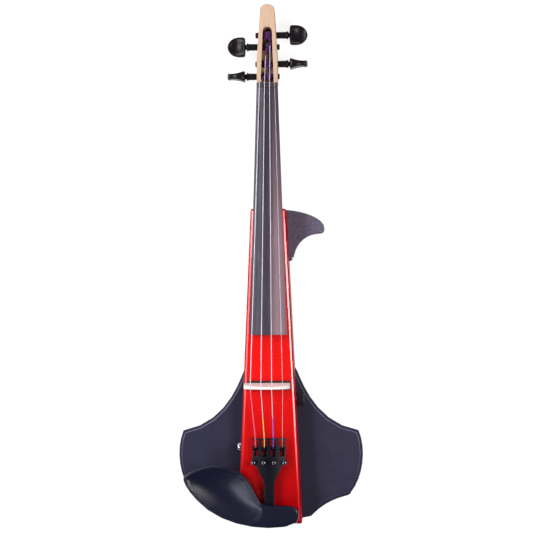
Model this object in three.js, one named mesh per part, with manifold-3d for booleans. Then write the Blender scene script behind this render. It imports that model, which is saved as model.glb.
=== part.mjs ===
import * as THREE from "three";
import { mergeVertices } from "three/addons/utils/BufferGeometryUtils.js";
import Module from "manifold-3d";

// Electric violin with a tapered beam body, in millimetres.
// +X points to the treble side, +Y to the head and +Z out of the front.
// The origin lies on the flat back, on the centre line, straight under the bridge.

// Shared values
const clear = 0.3;
const overrun = 2;
const half = 1 / 2;
const degree = Math.PI / 180;
const turn = 2 * Math.PI;
const sides = { fine: 24, round: 16, small: 12, thread: 8 };

// Strings: their places across the nut, bridge and tailpiece, and how high they run
const strings = {
  length: 328,
  nutSpread: 16.6,
  bridgeSpread: 35,
  bridgeAside: -2,
  tailSpread: 29.2,
  nutHeight: 46,
  bridgeHeight: 61,
  crownRadius: 42,
  gRadius: 0.42,
  dRadius: 0.38,
  aRadius: 0.35,
  eRadius: 0.16,
};

// Body: a beam that widens to the tail, with rounded edges
const body = {
  headY: 194,
  tailY: -149.3,
  headHalf: 19.3,
  tailHalf: 35,
  thick: 38,
  edge: 3.2,
  corner: 2,
  leastCorner: 0.3,
  edgeSteps: 3,
  cornerSteps: 4,
};
const halfAt = (y) =>
  THREE.MathUtils.mapLinear(y, body.headY, body.tailY, body.headHalf, body.tailHalf);

// Flat side plates that are let into the back of the body
const plate = {
  thick: 7,
  chamferIn: 3,
  chamferUp: 1.8,
  lip: 3.6,
  tongue: 9,
  screwInset: 4.6,
};
const wing = {
  reach: 102.5,
  topY: 19,
  bottomY: -147,
  tongueTopY: -35,
  tongueBottomY: -139,
  screwTopY: -52,
  screwBottomY: -126,
};
const fin = {
  reach: 60.7,
  topY: 193.4,
  bottomY: 136.6,
  tongueTopY: 186,
  tongueBottomY: 158,
  screwY: 172,
  tipScrewY: 140.2,
  tipScrewOut: 2.6,
};

// Wood screws with countersunk heads, and the small round head screw in the fin
const plateScrew = { headRadius: 3.2, shankRadius: 1.5, headHeight: 1.7, length: 16, sunk: 0.2 };
const coverScrew = { headRadius: 2.3, shankRadius: 1.1, headHeight: 1.2, length: 8, sunk: 0.2 };
const tipScrew = { headRadius: 1.6, headHeight: 1.1, shankRadius: 0.9, length: 5 };

// Neck, fingerboard and nut
const fingerboard = {
  tailY: 57,
  nutHalf: 11.5,
  tailHalf: 20.3,
  edgeThick: 4.4,
  underNut: 39,
  underTail: 43.4,
  arcSteps: 10,
};
const nut = { length: 4.5, frontGap: 0.3 };
const neck = {
  nutDepth: 14,
  bodyDepth: 16.5,
  heelStartY: 216,
  heelFoot: 4.5,
  tenonHalf: 11,
  tenonLength: 34,
  tenonFoot: 18,
  backSteps: 10,
  heelSteps: 5,
};
const pegbox = {
  frontHeight: 42,
  tiltDegrees: 7.5,
  length: 88.5,
  depth: 19.5,
  tipHalf: 7.9,
  tipRise: 6,
  shoulderShare: 0.282,
  edge: 1,
  slotNutHalf: 7.2,
  slotTipHalf: 5,
  slotLength: 63,
  slotStart: 0.6,
  slotDepth: 15,
};

// Pegs: places along the neck, taper, ring and thumb piece
const pegs = {
  gOut: 7.95,
  eOut: 21.75,
  dOut: 40.75,
  aOut: 53.75,
  axisDepth: 8.6,
  tipReach: 13.3,
  tipRadius: 3.15,
  ringRadius: 3.75,
  ringAt: 20.6,
  beadRadius: 4.4,
  beadWidth: 2.2,
  neckRadius: 2.5,
  neckWidth: 1.6,
  thumbLength: 19.4,
  thumbHalf: 10.9,
  thumbThick: 5.8,
  tipChamfer: 0.6,
};

// Silk wrapped turns on the pegs
const winding = {
  radius: 0.45,
  pitch: 1.36,
  steps: 24,
  sides: 6,
  bend: 0.8,
  bendSteps: 4,
  hole: 0.78,
  gLoops: 4,
  dLoops: 4,
  aLoops: 5,
  eLoops: 5,
  gStart: -1.5,
  dStart: -1.4,
  aStart: 3,
  eStart: 3.6,
};

// Bridge and the pickup bed that it stands on
const pickup = { half: 23.6, tailY: -3.2, headY: 6.6, thick: 2.5, corner: 1.2 };
const bridge = {
  footHalf: 25,
  crownHalf: 21,
  sideHeight: 9,
  tailFaceY: -1.3,
  footThick: 5.8,
  crownThick: 2.6,
  arcSteps: 10,
  roundSteps: 4,
};

// Tailpiece with four built in tuners
const tailpiece = {
  headY: -55,
  tailY: -139,
  under: 45,
  thick: 5,
  crownRadius: 60,
  headHalf: 19.3,
  slotEndHalf: 17.7,
  waistHalf: 14.2,
  stemHalf: 5.4,
  endHalf: 6.4,
  barWidth: 1.5,
  slotHeadHalf: 3.4,
  slotTailHalf: 2.6,
  slotLeanShare: 0.04,
  slotEndY: -75,
  lobeRadius: 3.1,
  waistY: -84.5,
  stemY: -106,
  flareY: -130,
};
const tuner = {
  spread: 33.6,
  screwY: -81.2,
  headRadius: 2.7,
  headHeight: 5,
  flutes: 10,
  fluteDepth: 0.3,
  shankRadius: 1.2,
  hubY: -66.4,
  hubUp: 0.2,
  hubRadius: 1.7,
  hubHalf: 3.2,
  prongWidth: 1.1,
  prongDepth: 1.7,
  prongGapHalf: 1,
  prongRise: 1.6,
  prongFoot: 0.8,
  prongY: -63.4,
  armWidth: 3,
  armThick: 1.6,
  armDrop: 0.8,
  armEndY: -84,
};
const tailCord = { radius: 1, spreadHalf: 3, anchorY: -133, anchorDepth: 3, bendSteps: 4, loopSteps: 12 };
const button = {
  height: 21,
  shankRadius: 4,
  shankEndY: -133.5,
  headRadius: 6.5,
  headThick: 3,
  edge: 0.8,
};
const saddle = { half: 10, length: 6, sunk: 3, rise: 3 };

// Chinrest and its clamp
const chinrest = {
  left: -92.5,
  right: 32.5,
  headY: -83.7,
  tailY: -151.3,
  under: 50.8,
  thick: 7,
  edge: 2.2,
  edgeSteps: 2,
  cupX: -50,
  cupY: -114,
  cupDepth: 5.5,
  cupSteps: 6,
  bowlDrop: 4,
  bowlStartShare: 0.72,
  footInnerX: 9.5,
  footOuterX: 27,
  footHeadY: -134,
  footTailY: -145.5,
};
const clamp = {
  rodX: 15.5,
  rodRadius: 1.5,
  plateHalf: 4.9,
  plateThick: 2,
  plateHeadY: -135,
  corkThick: 1.3,
  corkTailY: -145.8,
  barrelRadius: 2.3,
  barrelSunk: 2.2,
  barrelBore: 1.8,
  barrelBottom: 15,
  barrelTop: 29,
  upperRodEnd: 23.4,
  lowerRodEnd: 19.6,
  keyRadius: 0.8,
  rebate: 7.3,
  footHalf: 22,
};

// Electronics in the back
const cavity = {
  half: 14,
  tailY: -125.5,
  potY: -30,
  headY: 7,
  potRight: 18.5,
  potLeft: -14,
  roof: 30,
};
const cover = { thick: 2, flange: 3, endFlange: 5.6, screwIn: 2.9, screwEdge: 5 };
const pot = {
  y: -15.2,
  z: 17,
  bodyRadius: 8,
  bodyLength: 8,
  bodyGap: 1,
  bushRadius: 3.5,
  shaftRadius: 3,
  shaftOut: 5.6,
};
const knob = {
  radius: 6.9,
  length: 8,
  edge: 0.9,
  boreDepth: 5.4,
  wallGap: 0.7,
  flutes: 18,
  fluteDepth: 0.35,
};
const jack = {
  y: -66.7,
  z: 20,
  ferruleRadius: 4.5,
  ferruleLength: 3.8,
  wallGap: 0.5,
  barrelRadius: 4.2,
  innerX: -9,
  boreRadius: 3.3,
  boreDepth: 22,
};
const board = { half: 12, headY: -34, tailY: -58, thick: 1.6, chipHeight: 1.8 };
const battery = {
  half: 13.25,
  headY: -72.5,
  length: 48.5,
  thick: 17.5,
  studRadius: 3.4,
  studLength: 2.6,
  studX: 6.2,
};
const lead = { radius: 1, hole: 1.6, x: -8, y: 3, boardInset: 4, jackEndX: 3, steps: 18 };

// Finishes
const finish = (color, roughness, metalness = 0) =>
  new THREE.MeshStandardMaterial({ color, roughness, metalness });
const finishes = {
  lacquer: finish(0xd8121a, 0.25, 0.35),
  blackPlate: finish(0x26262e, 0.45),
  ebony: finish(0x2c2a30, 0.5),
  maple: finish(0xe8c9a0, 0.5),
  bridgeMaple: finish(0xf0e2cc, 0.6),
  blackPlastic: finish(0x1c1c22, 0.4),
  steel: finish(0xc8c8cc, 0.3, 1),
  blackSteel: finish(0x30303a, 0.35, 0.8),
  cork: finish(0xb08858, 0.9),
  silk: finish(0x6a2a8a, 0.7),
  cord: finish(0x202022, 0.5),
  boardGreen: finish(0x1e5a38, 0.6),
};

// Joining and cutting
const wasm = await Module();
wasm.setup();

function solid(geometry) {
  const bare = new THREE.BufferGeometry();
  bare.setAttribute("position", geometry.getAttribute("position"));
  if (geometry.index) bare.setIndex(geometry.index);
  const merged = mergeVertices(bare);
  return new wasm.Manifold(
    new wasm.Mesh({
      numProp: 3,
      vertProperties: new Float32Array(merged.attributes.position.array),
      triVerts: new Uint32Array(merged.index.array),
    }),
  );
}

function geometryOf(manifold) {
  const mesh = manifold.getMesh();
  const geometry = new THREE.BufferGeometry();
  const points = [];
  for (const corner of mesh.triVerts) {
    const start = corner * mesh.numProp;
    points.push(...mesh.vertProperties.subarray(start, start + 3));
  }
  geometry.setAttribute("position", new THREE.Float32BufferAttribute(points, 3));
  geometry.computeVertexNormals();
  return geometry;
}

const cut = (base, ...tools) => tools.reduce((rest, tool) => rest.subtract(solid(tool)), base);
const join = (...parts) => parts.map(solid).reduce((whole, part) => whole.add(part));

const violin = new THREE.Group();
function add(name, shape, material) {
  const geometry = shape.isBufferGeometry ? shape : geometryOf(shape);
  const mesh = new THREE.Mesh(geometry, material);
  mesh.name = name;
  violin.add(mesh);
  return mesh;
}

// Plain shapes
function block(x0, x1, y0, y1, z0, z1) {
  const geometry = new THREE.BoxGeometry(x1 - x0, y1 - y0, z1 - z0);
  return geometry.translate((x0 + x1) / 2, (y0 + y1) / 2, (z0 + z1) / 2);
}

// A turned piece: profile points are [radius, distance along the axis].
function turned(profile, count) {
  const points = profile.map(([radius, along]) => new THREE.Vector2(radius, along));
  return new THREE.LatheGeometry(points, count);
}
const alongX = (geometry) => geometry.rotateZ(-Math.PI / 2);
const alongZ = (geometry) => geometry.rotateX(Math.PI / 2);
const rod = (radius, from, to, count = sides.small) =>
  turned([[0, from], [radius, from], [radius, to], [0, to]], count);

function slab(points, from, to) {
  const shape = new THREE.Shape(points.map(([x, y]) => new THREE.Vector2(x, y)));
  return new THREE.ExtrudeGeometry(shape, { depth: to - from, bevelEnabled: false }).translate(0, 0, from);
}

// A solid between rings of points that all have as many points, closed by its first and last ring
function loft(rings, capFaces = fanFaces) {
  const count = rings[0].length;
  const faces = [];
  for (let ring = 0; ring + 1 < rings.length; ring++) {
    for (let i = 0; i < count; i++) {
      const a = ring * count + i;
      const b = ring * count + ((i + 1) % count);
      faces.push([a, b, b + count], [a, b + count, a + count]);
    }
  }
  const last = (rings.length - 1) * count;
  for (const [a, b, c] of capFaces(rings[0])) {
    faces.push([a, c, b], [last + a, last + b, last + c]);
  }
  const geometry = new THREE.BufferGeometry();
  geometry.setAttribute("position", new THREE.Float32BufferAttribute(rings.flat(2), 3));
  geometry.setIndex(faces.flat());
  return geometry;
}
const fanFaces = (ring) => ring.slice(2).map((_, i) => [0, i + 1, i + 2]);
const flatFaces = (ring) =>
  THREE.ShapeUtils.triangulateShape(
    ring.map(([x, y]) => new THREE.Vector2(x, y)),
    [],
  );

// A counterclockwise outline moved inwards, its corners kept sharp, and its first edges left where they are
function inset(points, distance, kept = 0) {
  return points.map((here, i) => {
    const before = points[(i + points.length - 1) % points.length];
    const after = points[(i + 1) % points.length];
    const arriving = new THREE.Vector2(here[0] - before[0], here[1] - before[1]).normalize();
    const leaving = new THREE.Vector2(after[0] - here[0], after[1] - here[1]).normalize();
    const arrivingMove = i > 0 && i <= kept ? 0 : distance;
    const leavingMove = i < kept ? 0 : distance;
    const bend = arriving.cross(leaving);
    const straight = Math.abs(bend) < Number.EPSILON ** half;
    const move = straight
      ? new THREE.Vector2(-arriving.y, arriving.x).multiplyScalar(leavingMove)
      : leaving.clone().multiplyScalar(arrivingMove / bend).addScaledVector(arriving, -leavingMove / bend);
    return [here[0] + move.x, here[1] + move.y];
  });
}

// A flat plate whose edges are chamfered or rounded inside its own counterclockwise outline
function chamferedPlate(points, from, to, inward, upward, { segments = 1, kept = 0 } = {}) {
  const levels = Array.from({ length: segments + 1 }, (_, i) => {
    const angle = ((Math.PI / 2) * i) / segments;
    return [inward * (1 - Math.sin(angle)), upward * (1 - Math.cos(angle))];
  });
  const ring = (moved, z) => inset(points, moved, kept).map(([x, y]) => [x, y, z]);
  const lower = levels.map(([moved, rise]) => ring(moved, from + rise));
  const upper = levels.map(([moved, rise]) => ring(moved, to - rise)).reverse();
  return loft([...lower, ...upper], flatFaces);
}

// A route of straight stretches, whose corners are met exactly.
class StraightRoute extends THREE.Curve {
  constructor(corners) {
    super();
    this.corners = corners;
  }

  getPoint(t, target = new THREE.Vector3()) {
    const place = t * (this.corners.length - 1);
    const index = Math.min(Math.floor(place), this.corners.length - 2);
    return target.lerpVectors(this.corners[index], this.corners[index + 1], place - index);
  }

  getPointAt(t, target) {
    return this.getPoint(t, target);
  }

  getTangentAt(t, target = new THREE.Vector3()) {
    const index = Math.round(t * (this.corners.length - 1));
    const before = this.corners[Math.max(index - 1, 0)];
    const here = this.corners[index];
    const after = this.corners[Math.min(index + 1, this.corners.length - 1)];
    const arriving = here.clone().sub(before).normalize();
    const leaving = after.clone().sub(here).normalize();
    return target.copy(arriving).add(leaving).normalize();
  }
}

function tube(path, radius, steps, count) {
  const section = new THREE.Shape().absarc(0, 0, radius, 0, turn);
  return new THREE.ExtrudeGeometry(section, {
    steps,
    curveSegments: count * half,
    extrudePath: path,
    bevelEnabled: false,
  });
}
const cornered = (corners, radius) =>
  tube(new StraightRoute(corners), radius, corners.length - 1, sides.thread);

// A countersunk wood screw driven from the back, or with a gap the hole that it goes in
function screwShape(size, x, y, gap = 0) {
  const start = gap ? -overrun : size.sunk;
  const profile = [
    [0, start],
    [size.headRadius + gap, start],
    [size.shankRadius + gap, size.sunk + size.headHeight],
    [size.shankRadius + gap, size.length - size.shankRadius],
    [0, size.length + gap],
  ];
  if (gap) profile.splice(2, 0, [size.headRadius + gap, size.sunk]);
  return alongZ(turned(profile, sides.small)).translate(x, y, 0);
}

// Places along the strings
const stringNames = ["g", "d", "a", "e"];
const placeShares = { g: -1 / 2, d: -1 / 6, a: 1 / 6, e: 1 / 2 };
const crownDrop = (x) => strings.crownRadius - Math.sqrt(strings.crownRadius ** 2 - x ** 2);
const underBoard = (y) =>
  THREE.MathUtils.mapLinear(
    y,
    strings.length,
    fingerboard.tailY,
    fingerboard.underNut,
    fingerboard.underTail,
  );
const boardHalf = (y) =>
  THREE.MathUtils.mapLinear(y, strings.length, fingerboard.tailY, fingerboard.nutHalf, fingerboard.tailHalf);
const nutFront = strings.length - nut.length * half;
const nutBack = strings.length + nut.length * half;

// Pegbox frame: its front face starts behind the nut and leans back
const tilt = pegbox.tiltDegrees * degree;
const pegboxY = nutBack + clear;
const inPegbox = (along, depth) => ({
  y: pegboxY + along * Math.cos(tilt) - depth * Math.sin(tilt),
  z: pegbox.frontHeight - along * Math.sin(tilt) - depth * Math.cos(tilt),
});
const pegY = {
  g: nutBack + pegs.gOut,
  d: nutBack + pegs.dOut,
  a: nutBack + pegs.aOut,
  e: nutBack + pegs.eOut,
};
const pegSide = { g: -1, d: -1, a: 1, e: 1 };
const thumbTurned = { g: true, d: false, a: false, e: true };
const pegAxis = (name) => {
  const along = (pegY[name] - pegboxY + pegs.axisDepth * Math.sin(tilt)) / Math.cos(tilt);
  return inPegbox(along, pegs.axisDepth);
};
const pegRadiusAt = (along) =>
  THREE.MathUtils.mapLinear(along, 0, pegs.tipReach + pegs.ringAt, pegs.tipRadius, pegs.ringRadius);

// Side plates: their outlines on the treble side, from the top of the root down to its end
function curvePoints(curves, divisions) {
  return curves.flatMap(([p0, p1, p2, p3], index) => {
    const curve = new THREE.CubicBezierCurve(...[p0, p1, p2, p3].map(([x, y]) => new THREE.Vector2(x, y)));
    return curve
      .getPoints(divisions)
      .slice(index ? 1 : 0)
      .map((point) => [point.x, point.y]);
  });
}
const platePlace = (size, [outShare, alongShare]) => [
  size.reach * outShare,
  THREE.MathUtils.lerp(size.topY, size.bottomY, alongShare),
];
const wingShares = {
  upperTip: [0.947, 0.418],
  lowerTip: [0.862, 0.83],
  heelTip: [0.428, 0.99],
  upperPulls: [[0.307, 0.018], [0.425, 0.364]],
  outerPulls: [[1.035, 0.548], [0.991, 0.731]],
  lowerPulls: [[0.866, 0.868], [0.66, 0.839]],
};
const finShares = {
  tip: [1, 0.37],
  underTip: [0.883, 0.469],
  waist: [0.447, 0.876],
  topPulls: [[0.619, 0.026], [1.01, 0.159]],
  tipPulls: [[1.001, 0.448], [0.958, 0.467]],
  underPulls: [[0.678, 0.481], [0.495, 0.624]],
  footPulls: [[0.426, 0.956], [0.414, 0.979]],
};
const plateSteps = 8;

function wingOutline() {
  const at = (share) => platePlace(wing, share);
  const start = [halfAt(wing.topY) + clear, wing.topY];
  return curvePoints(
    [
      [start, ...wingShares.upperPulls.map(at), at(wingShares.upperTip)],
      [at(wingShares.upperTip), ...wingShares.outerPulls.map(at), at(wingShares.lowerTip)],
      [at(wingShares.lowerTip), ...wingShares.lowerPulls.map(at), at(wingShares.heelTip)],
    ],
    plateSteps,
  ).concat([[halfAt(wing.bottomY) + clear, wing.bottomY]]);
}

function finOutline() {
  const at = (share) => platePlace(fin, share);
  return curvePoints(
    [
      [[halfAt(fin.topY) + clear, fin.topY], ...finShares.topPulls.map(at), at(finShares.tip)],
      [at(finShares.tip), ...finShares.tipPulls.map(at), at(finShares.underTip)],
      [at(finShares.underTip), ...finShares.underPulls.map(at), at(finShares.waist)],
      [at(finShares.waist), ...finShares.footPulls.map(at), [halfAt(fin.bottomY) + clear, fin.bottomY]],
    ],
    plateSteps,
  );
}

// The root of a side plate: a narrow lip along the wall, and a tongue for the screws
const rootPoints = (size, gap) => [
  [halfAt(size.bottomY) - plate.lip - gap, size.bottomY - gap],
  [halfAt(size.tongueBottomY) - plate.lip - gap, size.tongueBottomY - gap],
  [halfAt(size.tongueBottomY) - plate.tongue - gap, size.tongueBottomY - gap],
  [halfAt(size.tongueTopY) - plate.tongue - gap, size.tongueTopY + gap],
  [halfAt(size.tongueTopY) - plate.lip - gap, size.tongueTopY + gap],
  [halfAt(size.topY) - plate.lip - gap, size.topY + gap],
];
const mirrored = (points) => points.map(([x, y]) => [-x, y]).reverse();
const rootCut = (size) =>
  rootPoints(size, clear).concat([
    [body.tailHalf + overrun, size.topY + clear],
    [body.tailHalf + overrun, size.bottomY - clear],
  ]);
function plateShape(outline, size) {
  const root = rootPoints(size, 0);
  const points = outline.concat(root).reverse();
  return chamferedPlate(points, 0, plate.thick, plate.chamferIn, plate.chamferUp, { kept: root.length - 1 });
}
const plateScrewX = (y) => halfAt(y) - plate.tongue + plate.screwInset;

// Electronics cavity and its cover
const cavityOutline = (gap, endGap, from = 0) => [
  [-cavity.half - gap, cavity.tailY - endGap],
  [cavity.half + gap, cavity.tailY - endGap],
  [cavity.half + gap, cavity.potY - from * gap],
  [cavity.potRight + gap, cavity.potY - from * gap],
  [cavity.potRight + gap, cavity.headY + endGap],
  [cavity.potLeft - gap, cavity.headY + endGap],
];
const coverScrewPlaces = [
  [cavity.potLeft + cover.screwEdge, cavity.headY + cover.screwIn],
  [cavity.potRight - cover.screwEdge, cavity.headY + cover.screwIn],
  [-cavity.half + cover.screwEdge, cavity.tailY - cover.screwIn],
  [cavity.half - cover.screwEdge, cavity.tailY - cover.screwIn],
];

// Body
// Quarter circles about four centres, counterclockwise from the lower right
const roundCorners = (centres, radius, steps) =>
  centres.flatMap(([x, y], index) =>
    Array.from({ length: steps + 1 }, (_, i) => {
      const angle = (index - 1 + i / steps) * Math.PI * half;
      return [x + radius * Math.cos(angle), y + radius * Math.sin(angle)];
    }),
  );

function bodyRing(inset, z) {
  const radius = Math.max(body.corner - inset, body.leastCorner);
  const back = inset + radius;
  const centres = [
    [body.tailHalf - back, body.tailY + back],
    [body.headHalf - back, body.headY - back],
    [-body.headHalf + back, body.headY - back],
    [-body.tailHalf + back, body.tailY + back],
  ];
  return roundCorners(centres, radius, body.cornerSteps).map(([x, y]) => [x, y, z]);
}

function bodyBlank() {
  const levels = Array.from({ length: body.edgeSteps + 1 }, (_, i) => {
    const angle = ((Math.PI / 2) * i) / body.edgeSteps;
    return [body.edge * (1 - Math.sin(angle)), body.edge * (1 - Math.cos(angle))];
  });
  const back = levels.map(([inset, rise]) => bodyRing(inset, rise));
  const front = levels.map(([inset, rise]) => bodyRing(inset, body.thick - rise)).reverse();
  return solid(loft([...back, ...front]));
}

const mortise = {
  half: neck.tenonHalf + clear,
  tailY: body.headY - neck.tenonLength - clear,
  foot: neck.tenonFoot - clear,
};
const rodY = body.tailY + clamp.barrelSunk - clear - clamp.barrelRadius;

function makeBody() {
  const wallEnd = body.tailHalf + overrun;
  const tools = [
    block(
      -mortise.half,
      mortise.half,
      mortise.tailY,
      body.headY + overrun,
      mortise.foot,
      body.thick + overrun,
    ),
    slab(rootCut(wing), -overrun, plate.thick + clear),
    slab(mirrored(rootCut(wing)), -overrun, plate.thick + clear),
    slab(rootCut(fin), -overrun, plate.thick + clear),
    ...[-1, 1].map((side) =>
      alongZ(
        rod(clamp.barrelRadius + clear, -overrun, body.thick + overrun, sides.round),
      ).translate(side * clamp.rodX, rodY, 0),
    ),
    slab(cavityOutline(0, 0), -overrun, cavity.roof),
    slab(cavityOutline(cover.flange + clear, cover.endFlange + clear, 1), -overrun, cover.thick + clear),
    block(
      -clamp.footHalf - clear,
      clamp.footHalf + clear,
      body.tailY - overrun,
      clamp.plateHeadY + clear,
      -overrun,
      clamp.rebate,
    ),
    block(
      -saddle.half - clear,
      saddle.half + clear,
      body.tailY - overrun,
      body.tailY + saddle.length + clear,
      body.thick - saddle.sunk,
      body.thick + overrun,
    ),
    alongX(rod(pot.bushRadius + clear, cavity.potRight - overrun, wallEnd)).translate(0, pot.y, pot.z),
    alongX(rod(jack.barrelRadius + clear, -wallEnd, -cavity.half + overrun, sides.round)).translate(
      0,
      jack.y,
      jack.z,
    ),
    rod(button.shankRadius + clear, body.tailY - overrun, button.shankEndY + clear, sides.round).translate(
      0,
      0,
      button.height,
    ),
    alongZ(rod(lead.hole, cavity.roof - overrun, body.thick + overrun)).translate(lead.x, lead.y, 0),
    ...[wing.screwTopY, wing.screwBottomY].flatMap((y) =>
      [-1, 1].map((side) => screwShape(plateScrew, side * plateScrewX(y), y, clear)),
    ),
    screwShape(plateScrew, plateScrewX(fin.screwY), fin.screwY, clear),
    ...coverScrewPlaces.map(([x, y]) => screwShape(coverScrew, x, y, clear)),
  ];
  return cut(bodyBlank(), ...tools);
}
add("body", makeBody(), finishes.lacquer);

// Side plates and their screws
const wingShape = cut(
  solid(plateShape(wingOutline(), wing)),
  ...[wing.screwTopY, wing.screwBottomY].map((y) => screwShape(plateScrew, plateScrewX(y), y, clear)),
);
add("treble_wing", wingShape, finishes.blackPlate);
add("bass_wing", wingShape, finishes.blackPlate).scale.x = -1;
for (const [sideName, side] of [["bass", -1], ["treble", 1]]) {
  for (const [placeName, y] of [["top", wing.screwTopY], ["bottom", wing.screwBottomY]]) {
    add(
      `${sideName}_wing_screw_${placeName}`,
      screwShape(plateScrew, side * plateScrewX(y), y),
      finishes.blackSteel,
    );
  }
}

const tipScrewX = halfAt(fin.tipScrewY) + fin.tipScrewOut;
const tipScrewShape = (gap) => {
  const seat = plate.thick - tipScrew.headHeight * half;
  return alongZ(
    turned(
      [
        [0, seat - tipScrew.length - gap],
        [tipScrew.shankRadius + gap, seat - tipScrew.length - gap],
        [tipScrew.shankRadius + gap, seat - gap],
        [tipScrew.headRadius + gap, seat - gap],
        [tipScrew.headRadius + gap, seat + tipScrew.headHeight * half + (gap ? overrun : 0)],
        [0, seat + tipScrew.headHeight + (gap ? overrun : 0)],
      ],
      sides.small,
    ),
  ).translate(tipScrewX, fin.tipScrewY, 0);
};
add(
  "shoulder_fin",
  cut(
    solid(plateShape(finOutline(), fin)),
    screwShape(plateScrew, plateScrewX(fin.screwY), fin.screwY, clear),
    tipScrewShape(clear),
  ),
  finishes.blackPlate,
);
add("fin_root_screw", screwShape(plateScrew, plateScrewX(fin.screwY), fin.screwY), finishes.blackSteel);
add("fin_tip_screw", tipScrewShape(0), finishes.steel);

// Back cover and its screws
add(
  "back_cover",
  cut(
    solid(slab(cavityOutline(cover.flange, cover.endFlange, 1), 0, cover.thick)),
    ...coverScrewPlaces.map(([x, y]) => screwShape(coverScrew, x, y, clear)),
  ),
  finishes.blackPlastic,
);
coverScrewPlaces.forEach(([x, y], index) =>
  add(`cover_screw_${index + 1}`, screwShape(coverScrew, x, y), finishes.blackSteel),
);

// Neck: shaft and heel, tenon and slotted head in one piece
const neckTop = (y) => underBoard(y) - clear;
const smooth = (share) => share * share * (3 - 2 * share);

function neckRing(y) {
  const width = boardHalf(y);
  const shaftDepth = THREE.MathUtils.mapLinear(
    y,
    strings.length,
    neck.heelStartY,
    neck.nutDepth,
    neck.bodyDepth,
  );
  const heelShare = THREE.MathUtils.clamp(
    (neck.heelStartY - y) / (neck.heelStartY - body.headY),
    0,
    1,
  );
  const depth = THREE.MathUtils.lerp(shaftDepth, neckTop(y) - neck.heelFoot, smooth(heelShare));
  return Array.from({ length: neck.backSteps + 1 }, (_, i) => {
    const angle = (Math.PI * i) / neck.backSteps;
    return [width * Math.cos(angle), y, neckTop(y) - depth * Math.sin(angle)];
  });
}

const boxRing = (y, width, bottom, top) => [
  [width, y, top],
  [width, y, bottom],
  [-width, y, bottom],
  [-width, y, top],
];
const intoLeaningFrame = (geometry) =>
  geometry.rotateX(-tilt).translate(0, pegboxY, pegbox.frontHeight);
const extrudedAcross = (points, width) =>
  slab(points, -width, width).rotateX(Math.PI / 2).rotateZ(Math.PI / 2);

function roundEnded(startHalf, endHalf, start, end, steps, rise = endHalf) {
  const round = Array.from({ length: steps + 1 }, (_, i) => {
    const angle = (Math.PI * i) / steps;
    return [endHalf * Math.cos(angle), end - rise + rise * Math.sin(angle)];
  });
  return [[-startHalf, start], [startHalf, start], ...round];
}

const backShares = [[-0.03, 1], [0.35, 1], [0.6, 0.94], [0.8, 0.82], [0.93, 0.68], [1.03, 0.52]];

function makePegbox() {
  const shoulder = pegbox.length * pegbox.shoulderShare;
  const outline = roundEnded(
    fingerboard.nutHalf,
    pegbox.tipHalf,
    0,
    pegbox.length,
    sides.small,
    pegbox.tipRise,
  );
  outline.splice(2, 0, [fingerboard.nutHalf, shoulder]);
  outline.push([-fingerboard.nutHalf, shoulder]);
  const front = solid(
    intoLeaningFrame(chamferedPlate(outline, -pegbox.depth, 0, pegbox.edge, pegbox.edge)),
  );
  const profile = backShares.map(([along, deep]) => [along * pegbox.length, -deep * pegbox.depth]);
  const [first] = profile;
  const last = profile[profile.length - 1];
  const sideShape = extrudedAcross(
    [...profile, [last[0], overrun], [first[0], overrun]],
    fingerboard.nutHalf + overrun,
  );
  const slot = slab(
    roundEnded(pegbox.slotNutHalf, pegbox.slotTipHalf, pegbox.slotStart, pegbox.slotLength, sides.small),
    -pegbox.slotDepth,
    overrun,
  );
  return { head: front.intersect(solid(intoLeaningFrame(sideShape))), slot: intoLeaningFrame(slot) };
}

function pegHole(name) {
  const axis = pegAxis(name);
  const reach = fingerboard.nutHalf + overrun;
  const profile = [
    [0, -reach],
    [pegRadiusAt(pegs.tipReach - reach) + clear, -reach],
    [pegRadiusAt(pegs.tipReach + reach) + clear, reach],
    [0, reach],
  ];
  const hole = alongX(turned(profile, sides.round));
  return (pegSide[name] < 0 ? hole.rotateZ(Math.PI) : hole).translate(0, axis.y, axis.z);
}

function makeNeck() {
  const heelYs = Array.from({ length: neck.heelSteps + 1 }, (_, i) =>
    THREE.MathUtils.lerp(body.headY + clear, neck.heelStartY, i / neck.heelSteps),
  );
  const shaft = loft([...heelYs, pegboxY + pegbox.edge + pegbox.slotStart].map(neckRing));
  const tenonEnds = [body.headY - neck.tenonLength, body.headY + overrun];
  const tenon = loft(tenonEnds.map((y) => boxRing(y, neck.tenonHalf, neck.tenonFoot, neckTop(y))));
  const { head, slot } = makePegbox();
  const nutSeat = block(
    -fingerboard.nutHalf,
    fingerboard.nutHalf,
    nutFront,
    nutBack + clear,
    neckTop(strings.length),
    pegbox.frontHeight,
  );
  return cut(join(shaft, tenon).add(head), slot, nutSeat, ...stringNames.map(pegHole));
}
add("neck", makeNeck(), finishes.maple);

// Fingerboard and nut: flat below, round on top
function archRing(y, width, bottom, topAt, steps) {
  const top = Array.from({ length: steps + 1 }, (_, i) => {
    const x = THREE.MathUtils.lerp(-width, width, i / steps);
    return [x, y, topAt(x)];
  });
  return [...top, [width, y, bottom], [-width, y, bottom]];
}

function boardRing(y) {
  const width = boardHalf(y);
  const edgeTop = underBoard(y) + fingerboard.edgeThick;
  return archRing(
    y,
    width,
    underBoard(y),
    (x) => edgeTop + crownDrop(width) - crownDrop(x),
    fingerboard.arcSteps,
  );
}
add(
  "fingerboard",
  loft([boardRing(fingerboard.tailY), boardRing(nutFront - nut.frontGap)]),
  finishes.ebony,
);

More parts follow.
